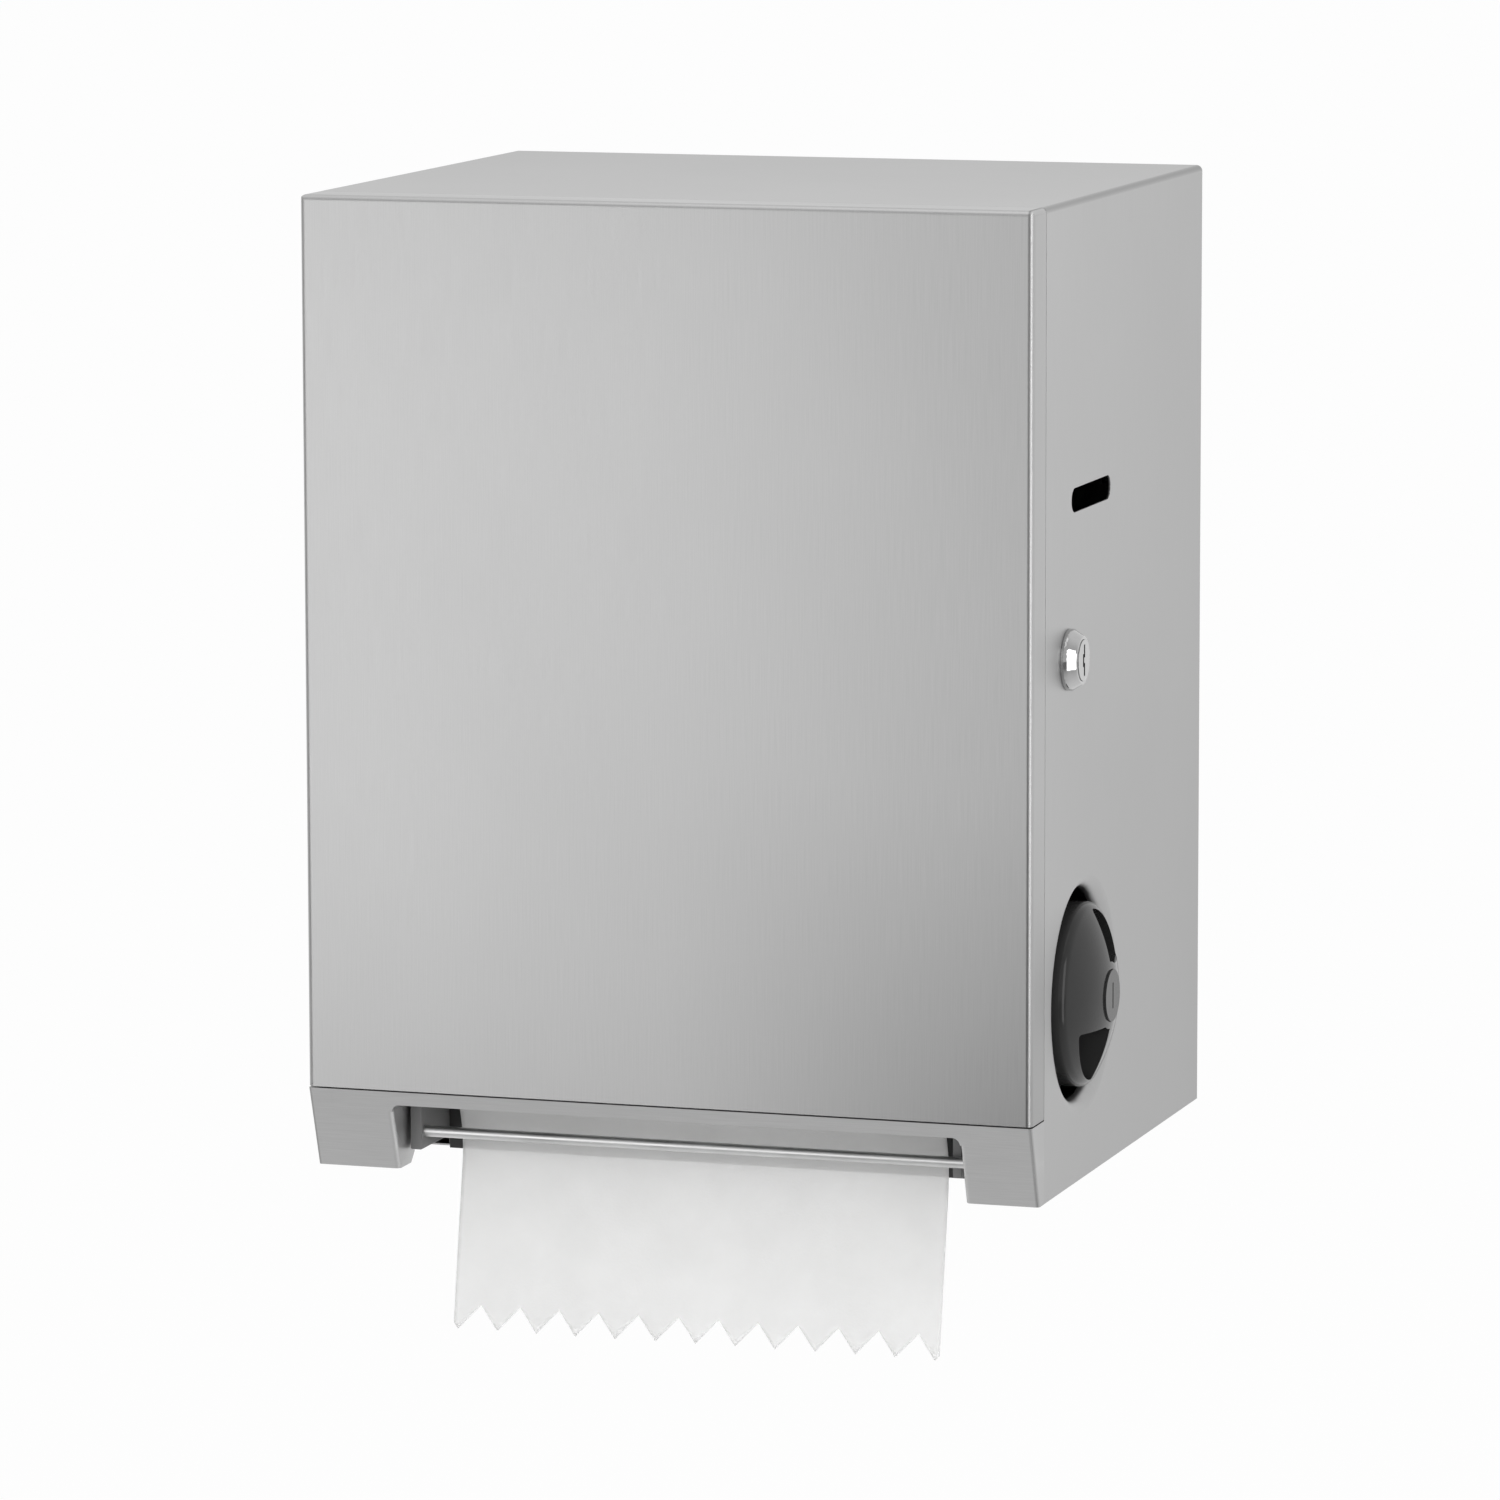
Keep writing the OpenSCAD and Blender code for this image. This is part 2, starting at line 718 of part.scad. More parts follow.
// Side frame from its front beside the mouth, over the yoke's horn and down its back
function frame_outline(front) = [
  [front, frame_low], [front, nose_top], [bar_back + nose_root, drum_up + frame_neck],
  [drum_back - frame_brow, drum_up + frame_crown], yoke_at + [-yoke_horn[0], yoke_horn[1]],
  yoke_at + [yoke_horn[1], yoke_horn[1]], [frame_back, drum_up + frame_heel],
  [frame_back, sheet], [bottom_front, sheet], [bottom_front, frame_low]];
module frame_plate(front) difference() {
  union() {
    along_x(frame_in, frame_out) polygon(frame_outline(front));
    slab([frame_out - over, foot_screw_y[0] - foot_end, sheet],
         [frame_out + frame_foot, foot_screw_y[1] + foot_end, sheet + foot_t]);
  }
  rod_x(frame_in - over, frame_out + over, bush_r + fit, drum_at);
  rod_x(frame_in - over, frame_out + over, yoke_rod_r + fit, yoke_at);
  frame_screw_places() cylinder(h = 4 * foot_t, r = screw_r + fit, center = true);
}
// The left frame's cheek holds the guide bar and closes the gap to the apron's leg
module frame_left() color(grey) bench() mirror([1, 0, 0]) {
  frame_plate(nose_front);
  slab([frame_out - over, nose_front, frame_low],
       [mouth_left - nose_gap, nose_front + frame_t, nose_top]);
}
module frame_right() color(grey) bench() frame_plate(nose_back);
// Seats of the screws that hold the frames and the chassis to the bottom panel
module frame_screw_places() {
  for (s = [-1, 1]) for (y = foot_screw_y)
    translate([s * (frame_out + frame_foot / 2), y, sheet + foot_t]) children();
  for (s = [-1, 1])
    translate([s * chassis_screw_x, frame_back + chassis_t + frame_foot / 2, sheet + foot_t]) children();
}
module frame_screws() color(bright) bench() frame_screw_places() screw(foot_t + sheet - clear);

// Plate that joins the frames at the back, with a foot
module rear_chassis() color(grey) bench() difference() {
  union() {
    slab([-frame_out, frame_back, sheet], [frame_out, frame_back + chassis_t, drum_up + tie_rise]);
    slab([-frame_out, frame_back, sheet], [frame_out, frame_back + chassis_t + frame_foot, sheet + foot_t]);
  }
  frame_screw_places() cylinder(h = 4 * foot_t, r = screw_r + fit, center = true);
}
module tie_rods() color(bright) bench() for (p = tie_at) rod_x(-frame_in, frame_in, tie_r, p);
// Bar from the left frame's cheek to the apron's right leg
module guide_bar() color(bright) bench() rod_x(-frame_in, mouth_right, bar_r, bar_at);

// Chute behind the hanging paper, with its shelf and ribs
module rear_guide() color(black) bench() {
  along_x(-frame_in, frame_in) {
    translate([guide_front, sheet]) square([guide_t, guide_h]);
    translate([guide_front, sheet]) square([guide_shelf, guide_t]);
  }
  for (i = [1:guide_ribs]) let (x = paper_w * ((i - 0.5) / guide_ribs - 0.5))
    along_x(x - guide_t / 2, x + guide_t / 2) translate([guide_front, sheet])
      polygon([[0, 0], [guide_t, guide_h], [guide_h + guide_t, 0]]);
}

module bush() difference() {
  union() {
    rod_x(frame_in, frame_out + over, bush_r, drum_at);
    rod_x(frame_out, frame_out + bush_flange, bush_r + bush_rim, drum_at);
  }
  rod_x(frame_in - over, frame_out + bush_flange + over, axle_r + fit, drum_at);
}
module bush_left() color(bronze) bench() mirror([1, 0, 0]) bush();
module bush_right() color(bronze) bench() bush();

// Fixed cam on the left frame, an arc in front of the drum's end
module knife_cam() color(black) bench() along_x(-frame_in, cam_depth - frame_in) translate(drum_at)
  intersection() {
    difference() {
      circle(cam_out);
      circle(cam_in);
    }
    polygon(concat([[0, 0]], arc([0, 0], 2 * cam_out, 180 - cam_reach, 180 + cam_reach, 4)));
  }

module yoke_rod() color(bright) bench() rod_x(-frame_out, frame_out, yoke_rod_r, yoke_at);
module yoke_springs() color(steel) bench() for (x = [over - drum_half, drum_half - yoke_spring_l - over])
  translate([x, yoke_at[0], yoke_at[1]])
    coil(yoke_rod_r + spring_gap + spring_wire, spring_wire, yoke_spring_n, yoke_spring_l);
// Two cheeks with eyes for the axle and the rod, joined by a bar
module pinch_yoke() color(steel) bench() {
  pair() difference() {
    along_x(yoke_in, yoke_out) {
      link(pinch_at, yoke_at, pinch_axle_r + yoke_eye, pinch_axle_r + yoke_eye / 2);
      link((pinch_at + yoke_at) / 2, yoke_bar_at, yoke_bar_r + yoke_rim, yoke_bar_r);
    }
    rod_x(yoke_in - over, yoke_out + over, pinch_axle_r + fit, pinch_at);
    rod_x(yoke_in - over, yoke_out + over, yoke_rod_r + fit, yoke_at);
  }
  rod_x(-yoke_in - yoke_t / 2, yoke_in + yoke_t / 2, yoke_bar_r, yoke_bar_at);
}
module pinch_axle() color(bright) bench() rod_x(-yoke_out, yoke_out, pinch_axle_r, pinch_at);
module pinch_roller() color(rubber) bench()
  tube_x(-paper_w / 2, paper_w / 2, pinch_r, pinch_axle_r + fit, pinch_at);

// Drum with closed ends, open along the knife's slot
module drum_shell() color(grey) bench() difference() {
  rod_x(-drum_half, drum_half, drum_r, drum_at);
  rod_x(disc_t - drum_half, drum_half - disc_t, drum_r - drum_wall, drum_at);
  rod_x(-drum_half - over, drum_half + over, axle_r + fit, drum_at);
  in_drum() {
    rod_x(-drum_half - over, drum_half + over, knife_rod_r + fit, knife_at);
    knife_slot();
  }
}
module knife_slot() slab([disc_t - drum_half, 0.8 * drum_r, -slot_behind],
                         [drum_half - disc_t, 2 * drum_r, slot_ahead]);
module grip_bands() color(rubber) bench() difference() {
  for (i = [0:grip_n - 1]) translate([grip_step(i), 0, 0])
    tube_x(-grip_w / 2, grip_w / 2, grip_r, drum_r + fit, drum_at);
  in_drum() knife_slot();
}
function grip_step(i) = (paper_w - 2 * grip_w) * (i / (grip_n - 1) - 0.5);
module drum_axle() color(bright) bench() difference() {
  rod_x(-frame_out - axle_tail, wall + axle_end, axle_r, drum_at);
  rod_x(wall - axle_thread, wall + axle_end + over, screw_r + fit, drum_at);
}

// Domed disc with two finger pockets, each between the bar across the hub and an upright wall
module knob() color(black) bench() difference() {
  turned_x(wall, drum_at) {
    translate([0, knob_low]) square([knob_r, edge_at - knob_low]);
    translate([edge_r, edge_at]) circle(knob_edge);
    intersection() {
      translate([0, dome_at]) circle(dome_r);
      polygon([[0, knob_low], [edge_r, knob_low], [edge_r, edge_at],
               [2 * edge_r, edge_at + edge_rise], [0, edge_at + edge_rise]]);
    }
  }
  along_x(wall + knob_floor, wall + knob_deep) translate(drum_at) for (a = [0, 180]) rotate(a) difference() {
    intersection() {
      translate(pocket_at) circle(pocket_r);
      translate([0, pocket_up]) square(knob_r);
    }
    circle(pocket_in);
  }
  rod_x(wall + knob_low - over, wall + axle_end, axle_r + fit, drum_at);
  rod_x(wall, wall + cap_proud, screw_r + fit, drum_at);
  rod_x(wall + axle_end + knob_web, wall + cap_proud, screw_head_r + clear, drum_at);
  rod_x(wall + cap_proud - cap_t, wall + 2 * knob_deep, cap_r + fit, drum_at);
}
module knob_screw() color(bright) bench()
  translate([wall + axle_end + knob_web, drum_back, drum_up]) rotate([0, 90, 0]) screw(knob_screw_l);
module knob_cap() color(black) bench() difference() {
  rod_x(wall + cap_proud - cap_t, wall + cap_proud, cap_r, drum_at);
  slab([wall + cap_proud - cap_slot[2], drum_back - cap_slot[1], drum_up - cap_slot[0]],
       [wall + knob_deep, drum_back + cap_slot[1], drum_up + cap_slot[0]]);
}

// Cut-off knife, drawn in the drum's own frame
module blade_screw_places() for (i = [0:blade_screw_n - 1])
  translate([(carrier_half - blade_w / 2) * (2 * i / (blade_screw_n - 1) - 1), blade_root + blade_screw_up,
             blade_t / 2]) children();
module knife_carrier() color(grey) bench() in_drum() difference() {
  union() {
    rod_x(-carrier_half, carrier_half, knife_rod_r + knife_eye, knife_at);
    along_x(-carrier_half, carrier_half) polygon([
      knife_at + [-knife_rod_r, knife_rod_r], knife_at + [knife_rod_r, knife_rod_r / 2],
      [blade_root + blade_lap, -blade_t / 2], [blade_root, -blade_t / 2]]);
  }
  rod_x(-paper_w, paper_w, knife_rod_r + fit, knife_at);
  blade_screw_places() cylinder(h = 4 * blade_screw_l, r = blade_screw_r + fit, center = true);
}
module knife_blade() color(bright) bench() in_drum() difference() {
  translate([0, 0, -blade_t / 2]) linear_extrude(blade_t) toothed(blade_root, blade_tip, blade_tooth_h);
  blade_screw_places() cylinder(h = 4 * blade_screw_l, r = blade_screw_r + fit, center = true);
}
// Strip of the paper's width, with teeth along its far edge
module toothed(low, tip, height) {
  half = tooth_n * tooth_pitch / 2;
  edge = tip - (paper_w / 2 - half) * 2 * height / tooth_pitch;
  teeth = [for (i = [0:2 * tooth_n]) [i * tooth_pitch / 2 - half, i % 2 == 0 ? tip : tip - height]];
  w = paper_w / 2;
  polygon(concat([[w, edge], [w, low], [-w, low], [-w, edge]], teeth));
}
module blade_screws() color(bright) bench() in_drum() blade_screw_places() {
  cylinder(h = blade_head_t, r = blade_head_r);
  translate([0, 0, -blade_screw_l]) cylinder(h = blade_screw_l + blade_head_t / 2, r = blade_screw_r);
}
module knife_rod() color(bright) bench() in_drum()
  rod_x(follower_gap - frame_in, drum_half, knife_rod_r, knife_at);
module knife_spring() color(steel) bench() in_drum()
  translate([carrier_half + over, knife_at[0], knife_at[1]])
    coil(knife_rod_r + spring_gap + spring_wire, spring_wire, knife_spring_n, knife_spring_l);
module cam_follower() color(black) bench() in_drum() difference() {
  union() {
    along_x(follower_gap - frame_in, follower_gap + follower_t - frame_in) {
      link(knife_at, follower_at, follower_r, follower_r);
      translate(knife_at) circle(knife_rod_r + knife_eye);
    }
    rod_x(follower_gap - frame_in, -drum_half - follower_gap, follower_r, follower_at);
  }
  rod_x(-frame_out, -drum_half, knife_rod_r + fit, knife_at);
}

// Arm on the back plate that holds one end of the roll
module arm_plate(y1) along_x(arm_in, arm_in + arm_t) {
  translate(roll_at) circle(arm_half);
  translate(roll_at - [0, arm_half]) square([y1 - roll_back, 2 * arm_half]);
}
module arm_foot(x0) slab([x0, back_in - foot_t, roll_up - arm_foot_half],
                         [arm_in + arm_foot_w, back_in, roll_up + arm_foot_half]);
module arm_screw_places() for (s = [-1, 1]) for (z = [-arm_screw_half, arm_screw_half])
  translate([s * arm_screw_x, back_in - foot_t, roll_up + z]) rotate([90, 0, 0]) children();
module arm_screws() color(bright) bench() arm_screw_places() screw(foot_t + sheet - clear);
module roll_arm_left() color(steel) bench() difference() {
  mirror([1, 0, 0]) {
    arm_plate(back_in);
    arm_foot(arm_in);
  }
  arm_screw_places() cylinder(h = 4 * foot_t, r = screw_r + fit, center = true);
}
module core_hub_left() color(black) bench() {
  rod_x(-arm_in, hub_flange_t - arm_in, hub_flange_r, roll_at);
  rod_x(-arm_in, -hub_in, core_r - fit, roll_at);
}
module arm_pin_bore() translate([arm_pin_x, arm_pin_y, 0]) cylinder(h = body_h, r = arm_pin_r + fit);
// Two ears that hold the arm's pin
module arm_bracket() color(steel) bench() difference() {
  union() {
    arm_foot(arm_pin_x - ear_half);
    for (z = [roll_up - arm_half - ear_t, roll_up + arm_half])
      slab([arm_pin_x - ear_half, arm_pin_y - ear_half, z],
           [arm_pin_x + ear_half, back_in - foot_t + over, z + ear_t]);
  }
  arm_pin_bore();
  arm_screw_places() cylinder(h = 4 * foot_t, r = screw_r + fit, center = true);
}
module arm_pin() color(bright) bench() translate([arm_pin_x, arm_pin_y, roll_up - arm_half - ear_t])
  cylinder(h = 2 * (arm_half + ear_t), r = arm_pin_r);
module roll_arm_right() color(steel) bench() difference() {
  union() {
    difference() {
      arm_plate(arm_pin_y - arm_pin_r - eye_wall);
      slab([0, arm_pin_y - eye_gap, roll_up - arm_half + eye_h],
           [wall, back_in, roll_up + arm_half - eye_h]);
    }
    for (z = [roll_up - arm_half + clear, roll_up + arm_half - eye_h]) {
      translate([arm_pin_x, arm_pin_y, z]) cylinder(h = eye_h - clear, r = arm_pin_r + eye_wall);
      slab([arm_in, arm_pin_y - eye_gap - over, z], [arm_in + arm_t, arm_pin_y, z + eye_h - clear]);
    }
  }
  for (z = [roll_up - 2 * arm_half + clear, roll_up + arm_half - clear])
    slab([0, arm_pin_y - 2 * arm_pin_ahead, z], [wall, back_in, z + arm_half]);
  arm_pin_bore();
}
module arm_spring() color(steel) bench() translate([arm_pin_x, arm_pin_y, roll_up - arm_spring_l / 2])
  rotate([0, -90, 0]) coil(arm_pin_r + spring_gap + spring_wire, spring_wire, arm_spring_n, arm_spring_l);
// Tapered, so that it leaves the core as its arm swings out
module core_hub_right() color(black) bench() {
  rod_x(arm_in - hub_flange_t, arm_in, hub_flange_r, roll_at);
  translate([hub_in, roll_back, roll_up]) rotate([0, 90, 0])
    cylinder(h = arm_in - hub_in, r1 = core_r - hub_taper, r2 = core_r - clear);
}
module roll_core() color(card) bench() tube_x(-paper_w / 2, paper_w / 2, core_out, core_r, roll_at);
module paper_roll() color(paper) bench() tube_x(-paper_w / 2, paper_w / 2, roll_r, core_out + fit, roll_at);

// One face of the paper inside the cabinet, t outside the other
function web_face(t) = concat(
  [roll_at + (web_roll + t) * dir(web_phi)],
  arc(pinch_at, web_pinch + t, web_phi, nip_angle, 4),
  arc(drum_at, web_drum + paper_t - t, 90, leave_angle, 24),
  [tail_top + (paper_t - t) * dir(leave_angle)]);
module paper_web() color(paper) bench() along_x(-paper_w / 2, paper_w / 2)
  polygon(concat(web_face(0), backwards(web_face(paper_t))));

function tail_face(t) = concat(
  arc(tail_centre, tail_bend - t, leave_angle - 180, tail_end_angle, 12),
  [tail_centre + (tail_bend - t) * dir(tail_end_angle) + 2 * tail_drop * dir(tail_end_angle - 90)]);
module paper_tail() color(paper) bench() intersection() {
  along_x(-paper_w / 2, paper_w / 2) polygon(concat(tail_face(0), backwards(tail_face(paper_t))));
  along_y(0, body_d) mirror([0, 1]) toothed(-mouth_up, tail_drop, tooth_h);
}

cabinet_wrap();
back_plate();
bottom_panel();
front_apron();
hinge_leaf_cabinet();
hinge_pin();
lock_body();
lock_nut();
frame_left();
frame_right();
rear_chassis();
rear_guide();
guide_bar();
tie_rods();
bush_left();
bush_right();
knife_cam();
yoke_rod();
yoke_springs();
roll_arm_left();
core_hub_left();
arm_bracket();
arm_pin();
arm_spring();
frame_screws();
arm_screws();
paper_web();
paper_tail();
door_panel();
hinge_leaf_door();
strike_bracket();
strike_stud();
lock_plug();
lock_cam();
cam_screw();
drum_shell();
drum_axle();
grip_bands();
knob();
knob_screw();
knob_cap();
knife_carrier();
knife_blade();
blade_screws();
knife_rod();
knife_spring();
cam_follower();
pinch_yoke();
pinch_axle();
pinch_roller();
roll_arm_right();
core_hub_right();
roll_core();
paper_roll();
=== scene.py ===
import json
import math

import bmesh
import bpy
from mathutils import Matrix, Vector


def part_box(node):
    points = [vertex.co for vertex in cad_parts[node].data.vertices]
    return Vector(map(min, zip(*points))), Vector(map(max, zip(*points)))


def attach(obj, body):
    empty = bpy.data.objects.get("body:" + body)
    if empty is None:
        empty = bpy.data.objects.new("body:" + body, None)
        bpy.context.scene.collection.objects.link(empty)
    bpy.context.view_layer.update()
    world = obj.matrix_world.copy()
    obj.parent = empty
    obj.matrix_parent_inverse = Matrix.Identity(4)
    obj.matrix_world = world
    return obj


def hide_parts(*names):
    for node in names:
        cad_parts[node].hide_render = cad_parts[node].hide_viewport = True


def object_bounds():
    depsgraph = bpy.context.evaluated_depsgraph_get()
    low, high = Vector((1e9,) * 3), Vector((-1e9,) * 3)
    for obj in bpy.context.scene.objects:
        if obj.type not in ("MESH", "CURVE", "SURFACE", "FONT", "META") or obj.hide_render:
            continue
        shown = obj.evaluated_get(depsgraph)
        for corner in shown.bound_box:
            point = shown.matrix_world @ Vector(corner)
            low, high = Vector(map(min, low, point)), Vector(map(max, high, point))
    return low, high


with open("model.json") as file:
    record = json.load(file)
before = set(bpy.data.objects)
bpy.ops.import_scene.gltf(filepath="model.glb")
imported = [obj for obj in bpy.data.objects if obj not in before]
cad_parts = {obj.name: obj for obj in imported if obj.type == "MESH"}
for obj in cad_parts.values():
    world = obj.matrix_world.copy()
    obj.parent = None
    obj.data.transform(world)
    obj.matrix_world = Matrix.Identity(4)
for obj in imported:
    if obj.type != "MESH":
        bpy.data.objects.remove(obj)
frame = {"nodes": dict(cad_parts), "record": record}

CAD_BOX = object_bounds()
NODES = frame["nodes"]
MM = 0.001
X, Y, Z = range(3)

# Camera: its place and angle, as the photograph was taken
CAMERA_AT = (0.9996, -3.2336, 0.4369)
CAMERA_YAW = 17.91
CAMERA_PITCH = -8.25
CAMERA_ROLL = -0.125
CAMERA_LENS = 196.5
CAMERA_SENSOR = 36.0

# Studio: the floor, the light from all round, how dim the studio looks in the steel, and the lamps
FLOOR_DROP = 0.35
FLOOR_HALF = 40.0
FLOOR_TONE = 0.8
FLOOR_GLOW = 0.94
WHITE = (1.0, 1.0, 1.0, 1.0)
AMBIENT = 0.87
DIM_STUDIO = 0.72
DIM_STUDIO_DEPTH = (-0.3, 0.3)
DIM_FLOOR = 0.24
DIM_FLOOR_DEPTH = (-1.5, 0.0)
LAMPS = (
    # name, place, size, power
    ("front_left", (-0.6, -1.45, -0.1), (0.75, 0.8), 3.1),
    ("right_strip", (0.88, -0.78, 0.06), (0.4, 1.25), 4.2),
    ("top", (-0.1, -0.6, 1.6), (1.2, 1.2), 3.0),
)

# Steel sheet: its tones, and the painted light and shade that make it lighter or darker at some places
STEEL_TONE = 0.46
# Painted light along the bent sheet's sides: lighter toward the front and the top, darker toward the back and
# the foot.
SIDE_PAINTED_LIGHT_ALONG = (1.03, 0.95)
SIDE_PAINTED_LIGHT_UP = (0.9, 1.05)
# Painted shade on the bent sheet's top, and darker painted shade along its bends, over a band this wide.
TOP_PAINTED_SHADE = 0.88
BEND_WIDTH = 2.5 * MM
BEND_PAINTED_SHADE = 0.4
# Apron: its tone painted lighter than the other steel, with painted shade along its outer bends and on its
# sides.
APRON_TONE = 0.58
APRON_BEND = 1.5 * MM
APRON_BEND_PAINTED_SHADE = 0.5
APRON_SIDE_PAINTED_SHADE = 0.77
# Door: a painted dark line where its right bend starts, and painted shade toward its low right corner.
DOOR_BEND = 2.8 * MM
DOOR_BEND_PAINTED_SHADE = 0.5
CORNER_PAINTED_SHADE = 0.77
CORNER_HEIGHT = 130 * MM


# Shader nodes
def fill(tree, socket, value):
    """Links a socket to another node's output, or sets it to a plain value."""
    if isinstance(value, bpy.types.NodeSocket):
        tree.links.new(value, socket)
    else:
        socket.default_value = value


def put(tree, node, **inputs):
    """Fills a node's named inputs."""
    for name, value in inputs.items():
        fill(tree, node.inputs[name.replace("_", " ")], value)


def add(tree, kind, **inputs):
    """A new shader node with its named inputs filled."""
    node = tree.nodes.new("ShaderNode" + kind)
    put(tree, node, **inputs)
    return node


def reckon(tree, operation, *values):
    """The result of a sum on one or two values."""
    node = add(tree, "Math")
    node.operation = operation
    for socket, value in zip(node.inputs, values):
        fill(tree, socket, value)
    return node.outputs["Value"]


def times(tree, first, second):
    """One value times another."""
    return reckon(tree, "MULTIPLY", first, second)


def tinted(tree, first, second):
    """One colour times another."""
    mix = add(tree, "MixRGB", Fac=1.0, Color1=first, Color2=second)
    mix.blend_type = "MULTIPLY"
    return mix.outputs["Color"]


def material(name):
    """A new material with its node tree and its surface shader."""
    mat = bpy.data.materials.new(name)
    mat.use_nodes = True
    return mat, mat.node_tree, mat.node_tree.nodes["Principled BSDF"]


def noise(tree, scale, detail, stretch=(1.0, 1.0, 1.0)):
    """Noise in the piece's own metres, drawn out where stretch is small."""
    coord = add(tree, "TexCoord")
    mapping = add(tree, "Mapping", Vector=coord.outputs["Object"], Scale=stretch)
    return add(tree, "TexNoise", Vector=mapping.outputs["Vector"], Scale=scale, Detail=detail).outputs["Fac"]


def spread(tree, value, low, high, start=0.3, end=0.7):
    """Maps a value from one range to another."""
    node = add(tree, "MapRange", Value=value, From_Min=start, From_Max=end, To_Min=low, To_Max=high)
    return node.outputs["Result"]


def shades(tree, value, dark, light, start=0.3, end=0.7):
    """A colour between two greys or tints, by a noise value."""
    ramp = add(tree, "ValToRGB", Fac=value)
    for element, place, colour in zip(ramp.color_ramp.elements, (start, end), (dark, light)):
        element.position = place
        element.color = (*colour, 1.0)
    return ramp.outputs["Color"]


def bump(tree, height, strength, distance):
    """Small relief from a noise value."""
    return add(tree, "Bump", Height=height, Strength=strength, Distance=distance).outputs["Normal"]


def grey(value):
    """A colour without tint."""
    return (value, value, value)


def place_in(tree):
    """A point of the piece in its own metres, as separate x, y and z."""
    return add(tree, "SeparateXYZ", Vector=add(tree, "TexCoord").outputs["Object"])


def outward_from(tree, place):
    """Distance from the middle of the width."""
    return reckon(tree, "ABSOLUTE", place.outputs["X"])


def tones_across(tree, value, start, end, stops):
    """A grey that goes through three stops of (share, grey) as a value goes from start to end."""
    ramp = add(tree, "ValToRGB", Fac=spread(tree, value, 0.0, 1.0, start, end))
    ramp.color_ramp.elements.new(0.5)
    for element, (share, tone) in zip(ramp.color_ramp.elements, stops):
        element.position = share
        element.color = (*grey(tone), 1.0)
    return ramp.outputs["Color"]


def apron_shade(tree):
    """Painted shade on the apron by its place: dark along its outer bends, and its sides darker than its
    front.
    """
    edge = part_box("front_apron")[1].x
    return tones_across(tree, outward_from(tree, place_in(tree)), edge - APRON_BEND, edge,
                        ((0.0, 1.0), (0.6, APRON_BEND_PAINTED_SHADE), (1.0, APRON_SIDE_PAINTED_SHADE)))


def front_shade(tree):
    """Painted shade on the door by its place: darker toward the low right corner, and a dark line where its
    right bend starts.
    """
    place = place_in(tree)
    lo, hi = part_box("door_panel")
    right = spread(tree, place.outputs["X"], 0.0, 1.0, 0.0, hi.x)
    low = spread(tree, place.outputs["Z"], 1.0, 0.0, lo.z, lo.z + CORNER_HEIGHT)
    corner = add(tree, "Mix", Factor=times(tree, right, low), A=1.0, B=CORNER_PAINTED_SHADE).outputs["Result"]
    bend = tones_across(tree, place.outputs["X"], hi.x - DOOR_BEND, hi.x,
                        ((0.05, 1.0), (0.3, DOOR_BEND_PAINTED_SHADE), (0.6, 1.0)))
    return times(tree, corner, bend)


def wrap_shade(tree):
    """Painted light and shade on the bent sheet by its place: brightest up at the front, painted shade on the
    top and along its bends.
    """
    place = place_in(tree)
    lo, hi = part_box("cabinet_wrap")
    upright = times(tree, spread(tree, place.outputs["Y"], *SIDE_PAINTED_LIGHT_ALONG, lo.y, hi.y),
                    spread(tree, place.outputs["Z"], *SIDE_PAINTED_LIGHT_UP, lo.z, hi.z))
    on_top = spread(tree, place.outputs["Z"], 1.0, TOP_PAINTED_SHADE, hi.z - BEND_WIDTH, hi.z)
    beside = spread(tree, outward_from(tree, place), 1.0, BEND_PAINTED_SHADE, hi.x - BEND_WIDTH, hi.x)
    above = spread(tree, place.outputs["Z"], 0.0, 1.0, hi.z - BEND_WIDTH, hi.z)
    bend = add(tree, "Mix", Factor=above, A=1.0, B=beside).outputs["Result"]
    return times(tree, times(tree, upright, on_top), bend)


def brushed_steel(name, stretch, tangent_axis, tone, shade, turn=0.0):
    """Brushed sheet: fine scratches along one way, cloudy patches, and light and shade painted in by place.
    """
    mat, tree, shader = material(name)
    scratch = noise(tree, 1.0, 4.0, stretch)
    cloud = noise(tree, 9.0, 3.0)
    fine = shades(tree, scratch, grey(tone * 0.955), grey(tone * 1.045))
    patch = shades(tree, cloud, grey(0.97), grey(1.0))
    # Light and shade painted into the colour by place.
    colour = tinted(tree, tinted(tree, fine, patch), shade(tree))
    tangent = add(tree, "Tangent")
    tangent.direction_type = "RADIAL"
    tangent.axis = tangent_axis
    put(tree, shader, Base_Color=colour, Metallic=1.0, Roughness=spread(tree, scratch, 0.35, 0.41),
        Anisotropic=0.4, Anisotropic_Rotation=turn, Tangent=tangent.outputs["Tangent"],
        Normal=bump(tree, scratch, 0.02, 0.1 * MM))
    return mat


def plain_metal(name, tone, rough, tint=(1.0, 1.0, 1.0)):
    """Rolled, turned or cast metal with faint stains and fine tool marks."""
    mat, tree, shader = material(name)
    stain = noise(tree, 60.0, 4.0)
    marks = noise(tree, 2400.0, 2.0)
    dark = tuple(tone * 0.85 * c for c in tint)
    light = tuple(tone * 1.05 * c for c in tint)
    put(tree, shader, Base_Color=shades(tree, stain, dark, light), Metallic=1.0,
        Roughness=spread(tree, stain, rough * 0.85, rough * 1.2), Normal=bump(tree, marks, 0.05, 0.1 * MM))
    return mat


def moulding(name, tone, rough, scale=700.0, strength=0.15, shine=0.5):
    """Moulded plastic with a fine spark-eroded grain."""
    mat, tree, shader = material(name)
    cloud = noise(tree, 25.0, 3.0)
    grain = noise(tree, scale, 2.0)
    put(tree, shader, Base_Color=shades(tree, cloud, grey(tone * 0.88), grey(tone * 1.1)),
        Roughness=spread(tree, cloud, rough * 0.9, rough * 1.15), Specular_IOR_Level=shine,
        Normal=bump(tree, grain, strength, 0.2 * MM))
    return mat


